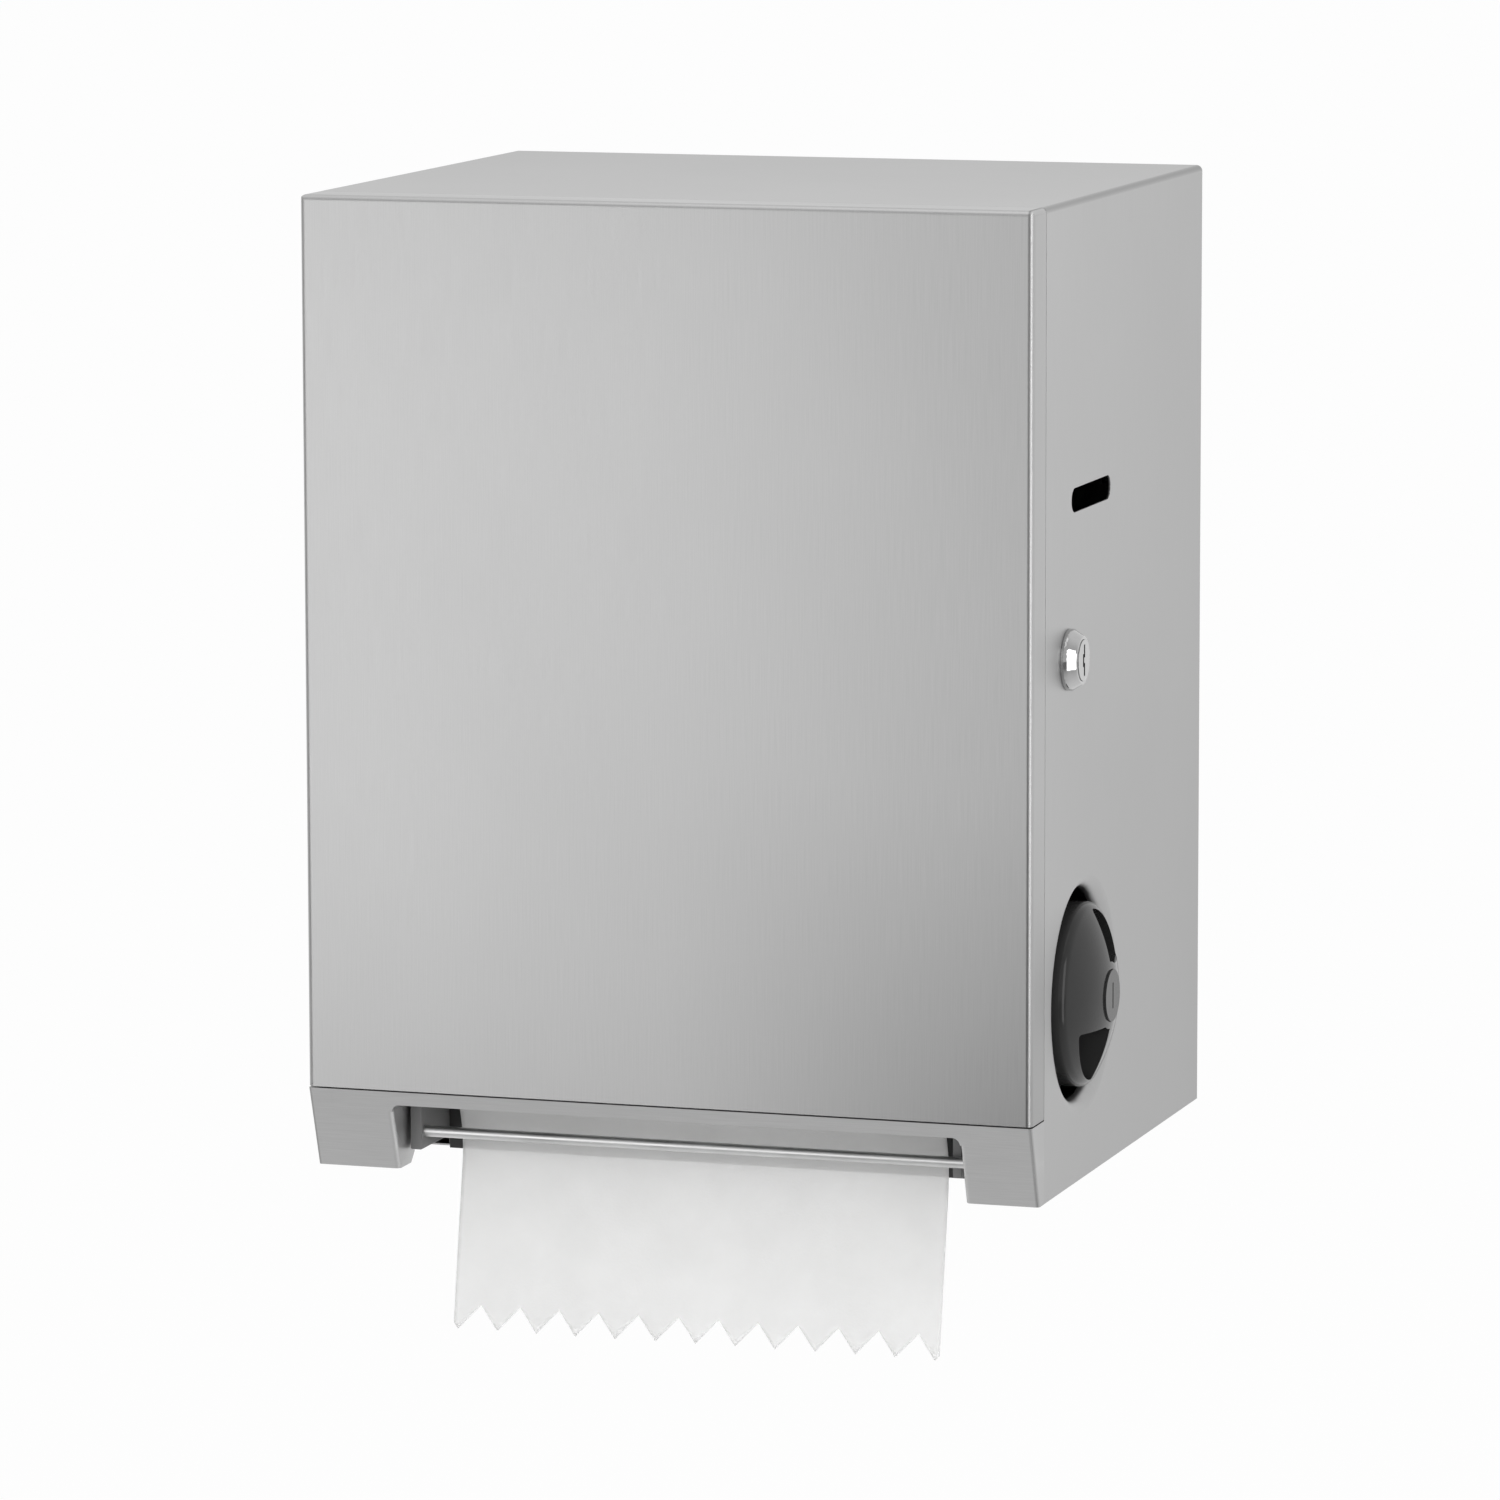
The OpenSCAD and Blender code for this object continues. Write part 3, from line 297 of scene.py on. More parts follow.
def paper_material(name, opacity):
    """Soft white towel paper with fibres and a faint pressed texture; light soaks through a single sheet."""
    mat, tree, shader = material(name)
    fibre = noise(tree, 900.0, 4.0)
    cloud = noise(tree, 40.0, 3.0)
    colour = shades(tree, cloud, (0.78, 0.78, 0.775), (0.84, 0.84, 0.835))
    put(tree, shader, Base_Color=colour, Roughness=0.9, Specular_IOR_Level=0.15, Alpha=opacity,
        Subsurface_Weight=1.0, Subsurface_Radius=(1.0, 1.0, 1.0), Subsurface_Scale=0.4 * MM,
        Normal=bump(tree, fibre, 0.25, 0.3 * MM))
    return mat


def card_material(name):
    """Grey-brown board wound in a slant, with a darker seam at each turn."""
    mat, tree, shader = material(name)
    coord = add(tree, "TexCoord")
    slant = add(tree, "Mapping", Vector=coord.outputs["Object"], Rotation=(0.0, 0.0, 0.6))
    seam = add(tree, "TexWave", Vector=slant.outputs["Vector"], Scale=8.0, Distortion=0.4).outputs["Fac"]
    colour = shades(tree, seam, (0.3, 0.24, 0.17), (0.4, 0.33, 0.25), 0.02, 0.12)
    fibre = noise(tree, 500.0, 4.0)
    put(tree, shader, Base_Color=colour, Roughness=0.85, Normal=bump(tree, fibre, 0.3, 0.3 * MM))
    return mat


front_steel = brushed_steel("front_steel", (2600.0, 2600.0, 40.0), "Z", STEEL_TONE, front_shade)
side_steel = brushed_steel("side_steel", (40.0, 2600.0, 40.0), "Y", STEEL_TONE, wrap_shade, 0.25)
apron_steel = brushed_steel("apron_steel", (60.0, 2600.0, 2600.0), "X", APRON_TONE, apron_shade)
loose_paper = paper_material("loose_paper", 0.65)
satin_rod = plain_metal("satin_rod", 0.66, 0.36)
SLOT_MATERIALS = {
    "plain_sheet": plain_metal("plain_sheet", 0.5, 0.35),
    "bright_steel": plain_metal("bright_steel", 0.55, 0.14),
    "spring_steel": plain_metal("spring_steel", 0.45, 0.3),
    "lock_chrome": plain_metal("lock_chrome", 0.46, 0.06),
    "frame_moulding": moulding("frame_moulding", 0.15, 0.4),
    "dark_moulding": moulding("dark_moulding", 0.03, 0.45),
    "black_gloss": moulding("black_gloss", 0.026, 0.12, strength=0.01, shine=0.22),
    "rubber": moulding("rubber", 0.04, 0.7, scale=1500.0, strength=0.4),
    "bronze": plain_metal("bronze", 0.55, 0.3, (1.0, 0.72, 0.42)),
    "card": card_material("card"),
    "paper": paper_material("paper", 1.0),
    "brushed_sheet": side_steel,
}
for part in frame["record"]["subparts"]:
    mesh = NODES[part["node"]].data
    mesh.materials.clear()
    mesh.materials.append(SLOT_MATERIALS[part["material_slot"]])
NODES["door_panel"].data.materials[0] = front_steel
NODES["front_apron"].data.materials[0] = apron_steel
NODES["guide_bar"].data.materials[0] = satin_rod


# Meshes
WELD_GAP = 0.001 * MM
SHARP_ANGLE = 35


def piece(name, bm, mat, body, slot, *nodes):
    """Turns a bmesh into a piece that rides on a body and stands for CAD nodes."""
    bmesh.ops.recalc_face_normals(bm, faces=bm.faces)
    mesh = bpy.data.meshes.new(name)
    bm.to_mesh(mesh)
    bm.free()
    mesh.materials.append(mat)
    mesh.shade_smooth()
    obj = bpy.data.objects.new(name, mesh)
    bpy.context.scene.collection.objects.link(obj)
    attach(obj, body)
    if nodes:
        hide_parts(*nodes)
    return obj


def grid_faces(bm, rows):
    """Joins equal rows of vertices with quads."""
    for low, high in zip(rows, rows[1:]):
        for i in range(len(low) - 1):
            bm.faces.new((low[i], low[i + 1], high[i + 1], high[i]))


def ring_faces(bm, rows):
    """Joins closed rows of vertices with quads, and the last row to the first."""
    for low, high in zip(rows, [*rows[1:], rows[0]]):
        for i in range(len(low)):
            j = (i + 1) % len(low)
            bm.faces.new((low[i], low[j], high[j], high[i]))


def lathe(profile, segments):
    """A closed profile of (radius, height) turned about the upright axis."""
    bm = bmesh.new()
    rows = []
    for k in range(segments):
        turn = 2 * math.pi * k / segments
        rows.append([bm.verts.new((r * math.cos(turn), r * math.sin(turn), h)) for r, h in profile])
    ring_faces(bm, rows)
    bmesh.ops.recalc_face_normals(bm, faces=bm.faces)
    return bm


def prism(outline, low, high):
    """A flat outline of (x, y) drawn up between two heights."""
    bm = bmesh.new()
    foot = bm.faces.new([bm.verts.new((x, y, low)) for x, y in outline])
    bm.normal_update()
    if foot.normal.z > 0:
        foot.normal_flip()
    top = bmesh.ops.extrude_face_region(bm, geom=[foot])
    moved = [item for item in top["geom"] if isinstance(item, bmesh.types.BMVert)]
    bmesh.ops.translate(bm, verts=moved, vec=(0, 0, high - low))
    bmesh.ops.recalc_face_normals(bm, faces=bm.faces)
    return bm


def scratch_object(bm):
    """A passing object for a cut."""
    mesh = bpy.data.meshes.new("scratch")
    bm.to_mesh(mesh)
    bm.free()
    obj = bpy.data.objects.new("scratch", mesh)
    bpy.context.scene.collection.objects.link(obj)
    return obj


def cut(bm, cutter):
    """The first solid less the second."""
    base = scratch_object(bm)
    tool = scratch_object(cutter)
    boolean = base.modifiers.new("cut", "BOOLEAN")
    boolean.object = tool
    boolean.operation = "DIFFERENCE"
    boolean.solver = "EXACT"
    result = bmesh.new()
    result.from_object(base, bpy.context.evaluated_depsgraph_get())
    for obj in (base, tool):
        mesh = obj.data
        bpy.data.objects.remove(obj)
        bpy.data.meshes.remove(mesh)
    return result


def soften(obj, width, segments=2):
    """Small rounding along a piece's sharp edges, so that they catch the light."""
    weld = obj.modifiers.new("weld", "WELD")
    weld.merge_threshold = WELD_GAP
    bevel = obj.modifiers.new("edges", "BEVEL")
    bevel.width = width
    bevel.segments = segments
    bevel.limit_method = "ANGLE"
    bevel.angle_limit = math.radians(SHARP_ANGLE)
    obj.modifiers.new("shading", "WEIGHTED_NORMAL")


def islands(node):
    """Boxes of a node's separate solids."""
    bm = bmesh.new()
    bm.from_mesh(NODES[node].data)
    bmesh.ops.remove_doubles(bm, verts=bm.verts, dist=WELD_GAP)
    left = set(bm.verts)
    boxes = []
    while left:
        group = set()
        edge = [left.pop()]
        while edge:
            vert = edge.pop()
            group.add(vert)
            near = {link.other_vert(vert) for link in vert.link_edges} & left
            left -= near
            edge.extend(near)
        lo = Vector(min(vert.co[axis] for vert in group) for axis in range(3))
        hi = Vector(max(vert.co[axis] for vert in group) for axis in range(3))
        boxes.append((lo, hi))
    bm.free()
    return sorted(boxes, key=lambda box: tuple(box[0]))


def centre(node):
    """Middle of a node's box."""
    lo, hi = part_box(node)
    return (lo + hi) / 2


def radius_of(node):
    """Radius of a node that is round about an axis along x."""
    lo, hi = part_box(node)
    return (hi.z - lo.z) / 2


# Paper: one sheet from the roll, round the pinch roller and the drum, out at the mouth to its torn edge
PAPER_GAP = 0.45 * MM
PAPER_THICK = 0.08 * MM
NIP_ANGLE = -85
LEAVE_ANGLE = 205
EXIT_LENGTH = 36.5 * MM
TAIL_BEND = 40 * MM
TAIL_END_ANGLE = -10
TOOTH_PITCH = 16.6 * MM
TOOTH_HEIGHT = 10 * MM
TOOTH_COLUMNS = 9
TOOTH_SKEW = 5 / 9
TEETH = 12
SPAN_STEPS = 30
PINCH_STEPS = 12
DRUM_STEPS = 48
EXIT_STEPS = 8
BEND_STEPS = 12
TAIL_STEP = 3 * MM
FOOT_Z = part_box("cabinet_wrap")[0].z
HANG_LENGTH = 70 * MM
LONG_WAVE = 0.9 * MM
LONG_WAVE_RATE = 31
LONG_WAVE_SHIFT = 0.6
SHORT_WAVE = 0.5 * MM
SHORT_WAVE_RATE = 83
SHORT_WAVE_TWIST = 2.0


def aim(angle):
    """Unit vector in the upright plane of depth and height, its angle in degrees."""
    return Vector((math.cos(math.radians(angle)), math.sin(math.radians(angle))))


def flat_point(node):
    """Axis of a round node, as depth and height."""
    middle = centre(node)
    return Vector((middle.y, middle.z))


def arc_points(middle, radius, start, end, count):
    """Points along an arc between two angles."""
    return [middle + radius * aim(start + (end - start) * i / count) for i in range(count + 1)]


def paper_path():
    """The sheet's middle line down to the level of its longest tooth, as depth and height."""
    roll = flat_point("paper_roll")
    pinch = flat_point("pinch_roller")
    drum = flat_point("drum_shell")
    roll_r = radius_of("paper_roll") + PAPER_GAP
    pinch_r = radius_of("pinch_roller") + PAPER_GAP
    drum_r = radius_of("grip_bands") + PAPER_GAP
    span = roll - pinch
    tangent = math.degrees(math.atan2(span.y, span.x) - math.acos((pinch_r - roll_r) / span.length))
    off_roll = roll + roll_r * aim(tangent)
    on_pinch = pinch + pinch_r * aim(tangent)
    across = on_pinch - off_roll
    points = [off_roll + across * i / SPAN_STEPS for i in range(SPAN_STEPS)]
    points += arc_points(pinch, pinch_r, tangent, NIP_ANGLE, PINCH_STEPS)
    points += arc_points(drum, drum_r, 90, LEAVE_ANGLE, DRUM_STEPS)
    tail_top = drum + drum_r * aim(LEAVE_ANGLE) + EXIT_LENGTH * aim(LEAVE_ANGLE + 90)
    points += [points[-1].lerp(tail_top, i / EXIT_STEPS) for i in range(1, EXIT_STEPS)]
    tail_middle = tail_top + TAIL_BEND * aim(LEAVE_ANGLE)
    points += arc_points(tail_middle, TAIL_BEND, LEAVE_ANGLE - 180, TAIL_END_ANGLE, BEND_STEPS)
    down = aim(TAIL_END_ANGLE - 90)
    reach = (points[-1].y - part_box("paper_tail")[0].z) / -down.y
    steps = round(reach / TAIL_STEP)
    return points + [points[-1] + down * reach * i / steps for i in range(1, steps + 1)]


def tooth_rise(x):
    """Height of the torn edge above its tips."""
    share = (x / TOOTH_PITCH + TEETH / 2) % 1
    return TOOTH_HEIGHT * min(share / TOOTH_SKEW, (1 - share) / (1 - TOOTH_SKEW))


def paper_columns(half):
    """Places across the sheet: its two edges, and the tips, roots and slopes of its teeth."""
    step = TOOTH_PITCH / TOOTH_COLUMNS
    edge = TEETH * TOOTH_PITCH / 2
    return [-half] + [-edge + i * step for i in range(TEETH * TOOTH_COLUMNS + 1)] + [half]


def paper_wave(x, height):
    """How far the hanging sheet waves forward or back, more so toward its end."""
    hang = max(0.0, FOOT_Z - height) / HANG_LENGTH
    long_wave = LONG_WAVE * math.sin(x * LONG_WAVE_RATE + LONG_WAVE_SHIFT)
    short_wave = SHORT_WAVE * math.sin(x * SHORT_WAVE_RATE + SHORT_WAVE_TWIST * hang)
    return hang * (long_wave + short_wave)


def paper_rows(path, columns):
    """Rows of points along the sheet's path, the last of them drawn in to the torn edge."""
    lowest = path[-1]
    fringe = next(i for i, p in enumerate(path) if p.y < lowest.y + 2 * TOOTH_HEIGHT)
    rows = []
    for i, p in enumerate(path):
        row = []
        for x in columns:
            spot = p
            if i > fringe:
                share = (i - fringe) / (len(path) - 1 - fringe)
                end = lowest + (path[fringe] - lowest).normalized() * tooth_rise(x)
                spot = path[fringe].lerp(end, share)
            row.append((x, spot.x + paper_wave(x, spot.y), spot.y))
        rows.append(row)
    return rows


def make_paper():
    """The sheet itself, along its path from the roll to its torn edge, given a thickness."""
    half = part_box("paper_tail")[1].x
    path = paper_path()
    bm = bmesh.new()
    rows = [[bm.verts.new(point) for point in row] for row in paper_rows(path, paper_columns(half))]
    grid_faces(bm, rows)
    sheet = piece("paper_sheet", bm, loose_paper, "cabinet", "paper", "paper_web", "paper_tail")
    thick = sheet.modifiers.new("thickness", "SOLIDIFY")
    thick.thickness = PAPER_THICK
    thick.offset = 0.0


# Roll: its ends show the turns of the sheet
ROLL_RING = 1.5 * MM
ROLL_RIDGE = 0.15 * MM
ROLL_STEPS = 3
ROLL_SEGMENTS = 120
CORE_GAP = 0.05 * MM


def make_roll():
    """Wound paper on its core, with a low ridge for each turn."""
    lo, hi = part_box("paper_roll")
    middle = centre("paper_roll")
    outer = radius_of("paper_roll")
    inner = radius_of("roll_core") + CORE_GAP
    rings = round((outer - inner) / ROLL_RING * ROLL_STEPS)
    bm = bmesh.new()
    rows = []
    for k in range(ROLL_SEGMENTS):
        turn = 2 * math.pi * k / ROLL_SEGMENTS
        out = []
        back = []
        for i in range(rings + 1):
            r = inner + (outer - inner) * i / rings
            swell = 0.5 + 0.5 * math.sin(2 * math.pi * r / ROLL_RING - turn)
            ridge = ROLL_RIDGE * swell if 0 < i < rings else 0.0
            spot = (middle.y + r * math.cos(turn), middle.z + r * math.sin(turn))
            out.append(bm.verts.new((hi.x - ridge, *spot)))
            back.append(bm.verts.new((lo.x + ridge, *spot)))
        rows.append(out + back[::-1])
    ring_faces(bm, rows)
    piece("wound_roll", bm, SLOT_MATERIALS["paper"], "roll", "paper", "paper_roll")


# Knob: a glossy dome with two finger pockets
KNOB_BACK = -12.5 * MM
KNOB_EDGE = 4 * MM
DOME_RADIUS = 70 * MM
DOME_TOP = 12 * MM
BAR_HALF = 11.7 * MM
HUB_RADIUS = 13.25 * MM
POCKET_RADIUS = 29 * MM
POCKET_AT = Vector((-1.5, 5)) * MM
POCKET_FLOOR = -7.5 * MM
POCKET_CORNER = 1.2 * MM
CAP_BORE = 10.45 * MM
CAP_SEAT = 8.5 * MM
AXLE_BORE = 5.2 * MM
POCKET_ROUNDING = 2 * MM
KNOB_SOFT = 0.7 * MM
KNOB_SEGMENTS = 192
RIM_STEPS = 8
DOME_STEPS = 24
HUB_STEPS = 10
CORNER_STEPS = 8
POCKET_STEPS = 24


def knob_profile(radius):
    """Outline of the turned knob as (radius, height above the side panel)."""
    dome_at = DOME_TOP - DOME_RADIUS
    edge_r = radius - KNOB_EDGE
    edge_rise = math.sqrt((DOME_RADIUS - KNOB_EDGE) ** 2 - edge_r ** 2)
    lean = math.atan2(edge_rise, edge_r)
    edge_at = Vector((edge_r, dome_at + edge_rise))
    rim = arc_points(edge_at, KNOB_EDGE, 0, math.degrees(lean), RIM_STEPS)
    start = math.asin(CAP_BORE / DOME_RADIUS)
    end = math.pi / 2 - lean
    dome = []
    for i in range(1, DOME_STEPS + 1):
        turn = end + (start - end) * i / DOME_STEPS
        dome.append((DOME_RADIUS * math.sin(turn), dome_at + DOME_RADIUS * math.cos(turn)))
    back = [(AXLE_BORE, KNOB_BACK), (radius - MM, KNOB_BACK), (radius, KNOB_BACK + MM)]
    return back + [tuple(p) for p in rim] + dome + [(CAP_BORE, CAP_SEAT), (AXLE_BORE, CAP_SEAT)]


def pocket_outline():
    """Upper pocket between the upright wall, the rim, the bar and the hub."""
    inner = math.degrees(math.asin(BAR_HALF / HUB_RADIUS))
    corner_r = POCKET_RADIUS - POCKET_CORNER
    side = math.degrees(math.acos((POCKET_CORNER - POCKET_AT.x) / corner_r))
    low = math.degrees(math.asin((BAR_HALF + POCKET_CORNER - POCKET_AT.y) / corner_r))
    points = arc_points(Vector((0, 0)), HUB_RADIUS, inner, 90, HUB_STEPS)
    points += arc_points(POCKET_AT + corner_r * aim(side), POCKET_CORNER, 180, side, CORNER_STEPS)
    points += arc_points(POCKET_AT, POCKET_RADIUS, side, low, POCKET_STEPS)[1:-1]
    points += arc_points(POCKET_AT + corner_r * aim(low), POCKET_CORNER, low, -90, CORNER_STEPS)
    return points


def make_knob():
    """The turned dome with a pocket cut into each half."""
    middle = centre("knob")
    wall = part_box("cabinet_wrap")[1].x
    bm = lathe(knob_profile(radius_of("knob")), KNOB_SEGMENTS)
    for turn in (1, -1):
        outline = [(turn * p.x, turn * p.y) for p in pocket_outline()]
        pocket = prism(outline, POCKET_FLOOR, 2 * DOME_TOP)
        floor = [edge for edge in pocket.edges if all(vert.co.z < 0 for vert in edge.verts)]
        bmesh.ops.bevel(pocket, geom=floor, offset=POCKET_ROUNDING, segments=4, profile=0.5, affect="EDGES")
        bm = cut(bm, pocket)
    outward = Matrix(((0, 0, 1, wall), (1, 0, 0, middle.y), (0, 1, 0, middle.z), (0, 0, 0, 1)))
    bm.transform(outward)
    knob = piece("domed_knob", bm, SLOT_MATERIALS["black_gloss"], "drum", "black_gloss", "knob")
    soften(knob, KNOB_SOFT, 3)


# Springs: round wire with a straight leg at each end
SPRING_WIRE = 0.6 * MM
SPRING_LEG = 7 * MM
COIL_STEPS = 24


def coil_points(lo, hi, axis, turns):
    """Middle line of a coil that fills a box, along x or z, with its two legs."""
    others = [k for k in range(3) if k != axis]
    middle = (lo + hi) / 2
    radius = (hi[others[0]] - lo[others[0]]) / 2 - SPRING_WIRE
    length = hi[axis] - lo[axis] - 2 * SPRING_WIRE
    points = []
    for i in range(turns * COIL_STEPS + 1):
        turn = 2 * math.pi * i / COIL_STEPS
        spot = Vector((0, 0, 0))
        spot[axis] = lo[axis] + SPRING_WIRE + length * i / (turns * COIL_STEPS)
        spot[others[0]] = middle[others[0]] + radius * math.cos(turn)
        spot[others[1]] = middle[others[1]] + radius * math.sin(turn)
        points.append(spot)
    along = Vector((0, 0, 0))
    along[others[1]] = SPRING_LEG
    return [points[0] - along] + points + [points[-1] + along]


def make_spring(name, node, axis, turns, body):
    """Coils of wire in place of a node's springs."""
    data = bpy.data.curves.new(name, "CURVE")
    data.dimensions = "3D"
    data.bevel_depth = SPRING_WIRE
    data.bevel_resolution = 3
    data.use_fill_caps = True
    for lo, hi in islands(node):
        points = coil_points(lo, hi, axis, turns)
        spline = data.splines.new("POLY")
        spline.points.add(len(points) - 1)
        for target, point in zip(spline.points, points):
            target.co = (*point, 1.0)
    data.materials.append(SLOT_MATERIALS["spring_steel"])
    spring = bpy.data.objects.new(name, data)
    bpy.context.scene.collection.objects.link(spring)
    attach(spring, body)
    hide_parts(node)


# Screws: pan heads with a cross recess; the crown is in shares of the head's radius and thickness
HEAD_RADIUS = 3.8 * MM
HEAD_THICK = 2.2 * MM
HEAD_CROWN = ((1.0, 0.0), (1.0, 0.45), (0.93, 0.75), (0.75, 0.93), (0.4, 1.0), (0.02, 1.0))
SHANK_RADIUS = 2 * MM
TIP_RADIUS = 0.8 * SHANK_RADIUS
TIP_LENGTH = 0.25 * SHANK_RADIUS
RECESS_ARM = 0.55 * HEAD_RADIUS
RECESS_HALF = 0.13 * HEAD_RADIUS
RECESS_DEPTH = 0.5 * HEAD_THICK
SCREW_SOFT = 0.1 * MM
SCREW_SEGMENTS = 32


def cross_outline(arm, half):
    """A cross of four equal arms, each twice half wide."""
    return [(arm, half), (half, half), (half, arm), (-half, arm), (-half, half), (-arm, half),
            (-arm, -half), (-half, -half), (-half, -arm), (half, -arm), (half, -half), (arm, -half)]


def screw_mesh(length):
    """One screw standing on a shank of this length, its head's seat at height 0."""
    crown = [(r * HEAD_RADIUS, h * HEAD_THICK) for r, h in HEAD_CROWN]
    shank = [(crown[-1][0], -length), (TIP_RADIUS, -length), (SHANK_RADIUS, TIP_LENGTH - length),
             (SHANK_RADIUS, 0.0)]
    bm = lathe(shank + crown, SCREW_SEGMENTS)
    recess = prism(cross_outline(RECESS_ARM, RECESS_HALF), HEAD_THICK - RECESS_DEPTH, 2 * HEAD_THICK)
    return cut(bm, recess)


def make_screws(name, node, axis, head_side, body):
    """Screws in place of a node's, each along an axis with its head at that side of its box."""
    whole = bmesh.new()
    direction = Vector((0, 0, 0))
    direction[axis] = head_side
    turn = direction.to_track_quat("Z", "Y").to_matrix().to_4x4()
    for lo, hi in islands(node):
        seat = (lo + hi) / 2
        seat[axis] = (hi if head_side > 0 else lo)[axis] - head_side * HEAD_THICK
        one = screw_mesh(hi[axis] - lo[axis] - HEAD_THICK)
        one.transform(Matrix.Translation(seat) @ turn)
        mesh = bpy.data.meshes.new("scratch")
        one.to_mesh(mesh)
        one.free()
        whole.from_mesh(mesh)
        bpy.data.meshes.remove(mesh)
    screws = piece(name, whole, SLOT_MATERIALS["bright_steel"], body, "bright_steel", node)
    soften(screws, SCREW_SOFT)


make_paper()
make_roll()
make_knob()
make_spring("yoke_spring_wire", "yoke_springs", X, 6, "cabinet")
make_spring("arm_spring_wire", "arm_spring", Z, 4, "cabinet")
make_spring("knife_spring_wire", "knife_spring", X, 5, "knife")
make_screws("frame_screw_set", "frame_screws", Z, 1, "cabinet")
make_screws("arm_screw_set", "arm_screws", Y, -1, "cabinet")

# Small rounding of the CAD pieces' edges, in millimetres
SOFT_EDGES = {
    "cabinet_wrap": 0.1, "door_panel": 0.1, "front_apron": 0.15, "back_plate": 0.2, "bottom_panel": 0.2,
    "frame_left": 0.5, "frame_right": 0.5, "rear_chassis": 0.3, "rear_guide": 0.4, "knife_cam": 0.3,
    "lock_body": 0.3, "lock_plug": 0.25, "lock_nut": 0.3, "lock_cam": 0.3, "knob_cap": 0.4, "drum_shell": 0.5,
    "pinch_yoke": 0.5, "roll_arm_left": 0.4, "roll_arm_right": 0.4, "core_hub_left": 0.6,
    "core_hub_right": 0.6, "arm_bracket": 0.3, "strike_bracket": 0.2, "strike_stud": 0.3,
    "knife_carrier": 0.3, "cam_follower": 0.3,
    "bush_left": 0.3, "bush_right": 0.3, "pinch_roller": 0.5, "grip_bands": 0.3, "hinge_leaf_door": 0.15,
    "hinge_leaf_cabinet": 0.15, "hinge_pin": 0.2, "drum_axle": 0.4, "cam_screw": 0.3,
}
for node, width in SOFT_EDGES.items():
    soften(NODES[node], width * MM)


# World, floor, lamps and camera
def mirrored(tree, path):
    """1 for rays from gloss and through glass, and 0 for the rest."""
    return reckon(tree, "MAXIMUM", path.outputs["Is Glossy Ray"], path.outputs["Is Transmission Ray"])


def toward_back(tree, coordinate, dim, depths):
    """From the dim studio on the camera's side to the white background, between two depths."""
    depth = add(tree, "SeparateXYZ", Vector=coordinate).outputs["Y"]
    return spread(tree, depth, dim, 1.0, *depths)


def mix_shader(tree, share, first, second):
    """Two shaders mixed, with this share of the second."""
    mix = add(tree, "MixShader", Fac=share)
    tree.links.new(first.outputs[0], mix.inputs[1])
    tree.links.new(second.outputs[0], mix.inputs[2])
    return mix


def make_world():
    """White as the camera sees it, dimmer in front as the steel mirrors it, and the light from all round."""
    world = bpy.data.worlds.new("studio")
    bpy.context.scene.world = world
    world.use_nodes = True
    tree = world.node_tree
    path = add(tree, "LightPath")
    seen = tree.nodes["Background"]
    put(tree, seen, Color=WHITE, Strength=1.0)
    scattered = add(tree, "Background", Color=WHITE, Strength=AMBIENT)
    direction = add(tree, "TexCoord").outputs["Generated"]
    brightness = toward_back(tree, direction, DIM_STUDIO, DIM_STUDIO_DEPTH)
    room = add(tree, "Background", Color=WHITE, Strength=brightness)
    unseen = mix_shader(tree, mirrored(tree, path), scattered, room)
    whole = mix_shader(tree, path.outputs["Is Camera Ray"], unseen, seen)
    tree.links.new(whole.outputs[0], tree.nodes["World Output"].inputs["Surface"])


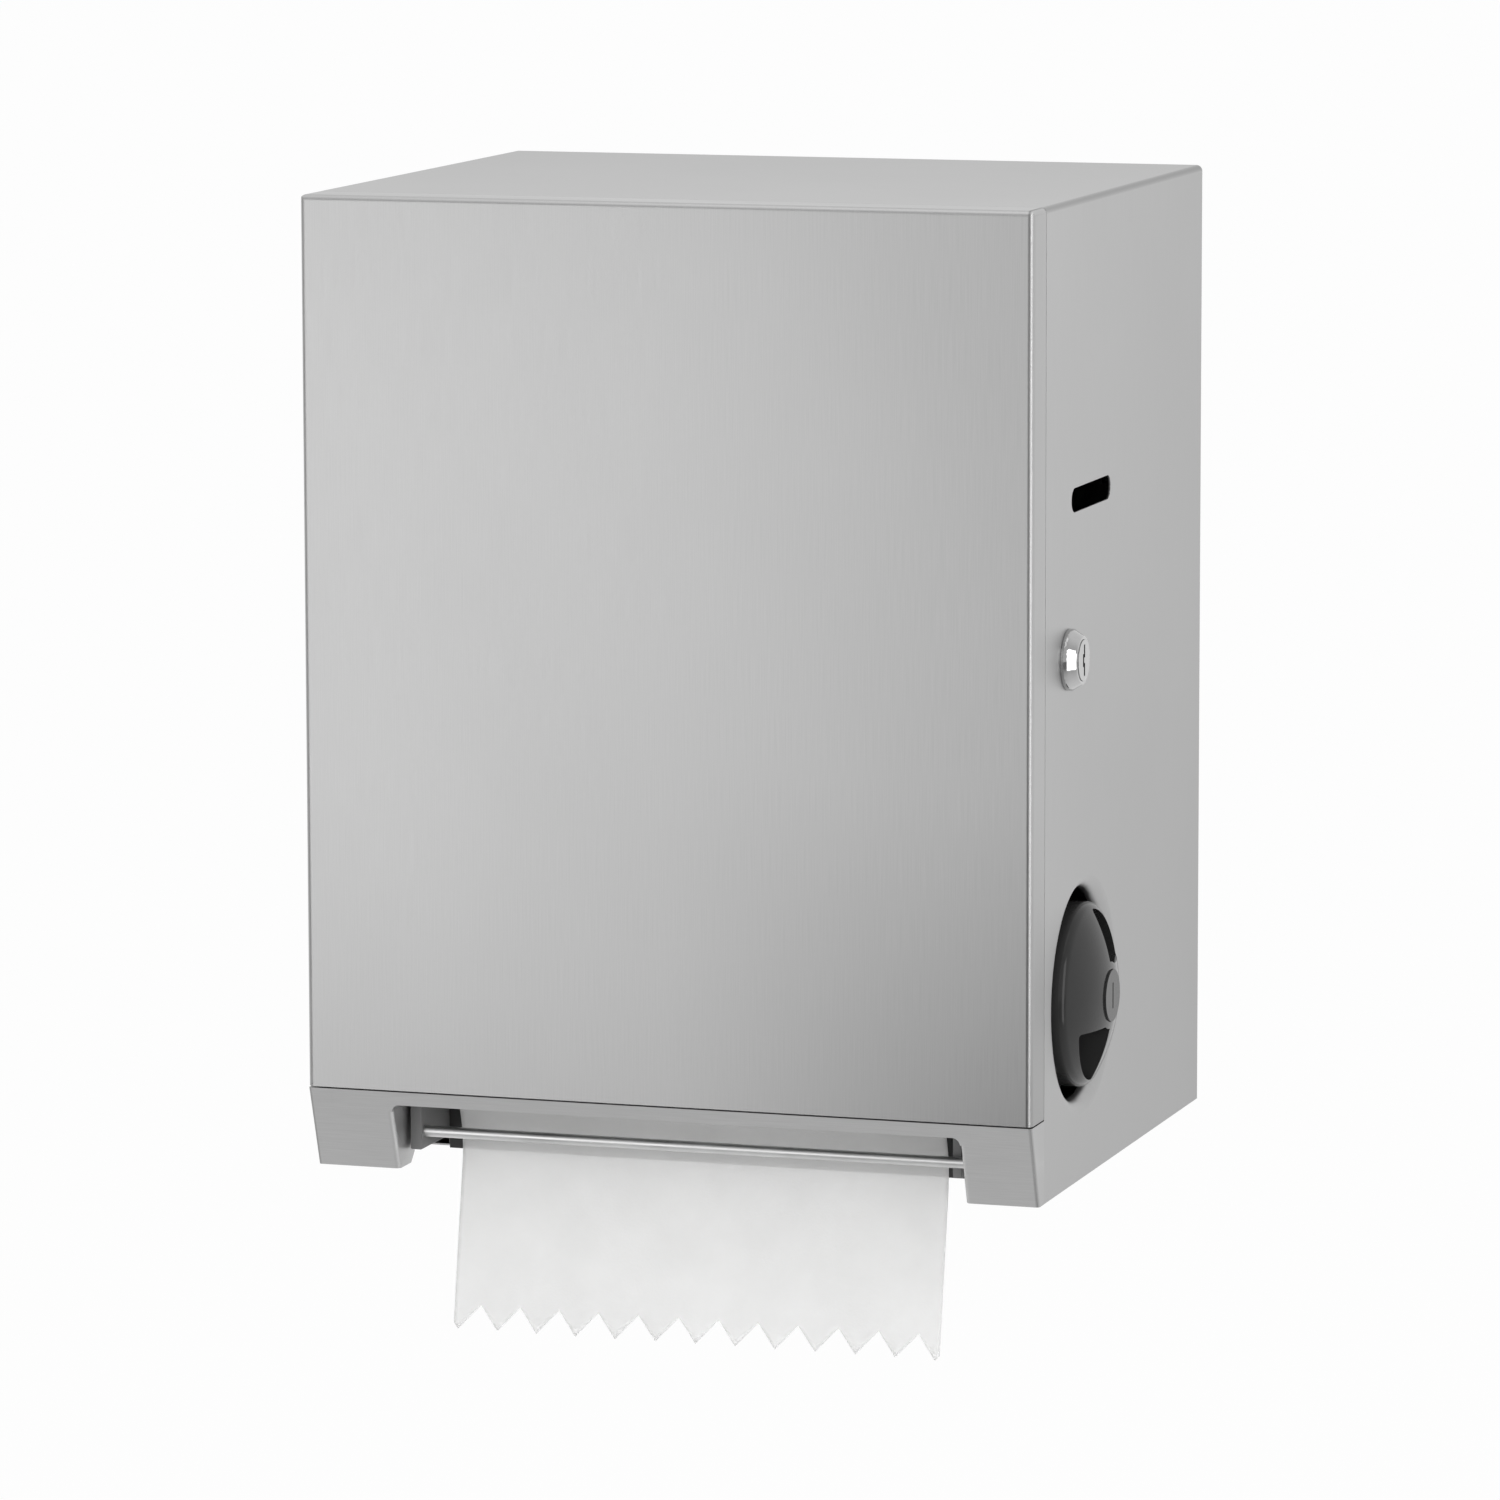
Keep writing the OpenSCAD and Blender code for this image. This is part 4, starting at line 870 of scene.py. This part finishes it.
def make_floor():
    """A wide floor below the object, nearly white as the camera sees it, with a faint shadow."""
    level = CAD_BOX[0].z - FLOOR_DROP
    mesh = bpy.data.meshes.new("floor")
    corners = [(x * FLOOR_HALF, y * FLOOR_HALF, level) for x, y in ((-1, -1), (1, -1), (1, 1), (-1, 1))]
    mesh.from_pydata(corners, [], [(0, 1, 2, 3)])
    floor = bpy.data.objects.new("floor", mesh)
    bpy.context.scene.collection.objects.link(floor)
    mat, tree, shader = material("floor")
    put(tree, shader, Base_Color=(*grey(FLOOR_TONE), 1.0), Roughness=0.9)
    path = add(tree, "LightPath")
    seen = add(tree, "Emission", Color=WHITE, Strength=1.0)
    keeps_shadow = mix_shader(tree, FLOOR_GLOW, shader, seen)
    place = add(tree, "TexCoord").outputs["Object"]
    brightness = toward_back(tree, place, DIM_FLOOR, DIM_FLOOR_DEPTH)
    room = add(tree, "Emission", Color=WHITE, Strength=brightness)
    unseen = mix_shader(tree, mirrored(tree, path), shader, room)
    whole = mix_shader(tree, path.outputs["Is Camera Ray"], unseen, keeps_shadow)
    tree.links.new(whole.outputs[0], tree.nodes["Material Output"].inputs["Surface"])
    mesh.materials.append(mat)


def area_lamp(name, place, size, power):
    """A lamp turned toward the middle of the object."""
    data = bpy.data.lights.new(name, "AREA")
    data.shape = "RECTANGLE"
    data.size, data.size_y = size
    data.energy = power
    lamp = bpy.data.objects.new(name, data)
    bpy.context.scene.collection.objects.link(lamp)
    lamp.location = place
    middle = (CAD_BOX[0] + CAD_BOX[1]) / 2
    lamp.rotation_euler = (middle - Vector(place)).to_track_quat("-Z", "Y").to_euler()


def make_camera():
    """The camera at the photograph's angle."""
    data = bpy.data.cameras.new("camera")
    data.lens = CAMERA_LENS
    data.sensor_width = CAMERA_SENSOR
    camera = bpy.data.objects.new("camera", data)
    bpy.context.scene.collection.objects.link(camera)
    turn = (Matrix.Rotation(math.radians(CAMERA_YAW), 4, "Z")
            @ Matrix.Rotation(math.radians(90 + CAMERA_PITCH), 4, "X")
            @ Matrix.Rotation(math.radians(CAMERA_ROLL), 4, "Z"))
    camera.matrix_world = Matrix.Translation(CAMERA_AT) @ turn
    bpy.context.scene.camera = camera


make_world()
make_floor()
make_camera()
for lamp in LAMPS:
    area_lamp(*lamp)
bpy.context.scene.view_settings.view_transform = "Standard"
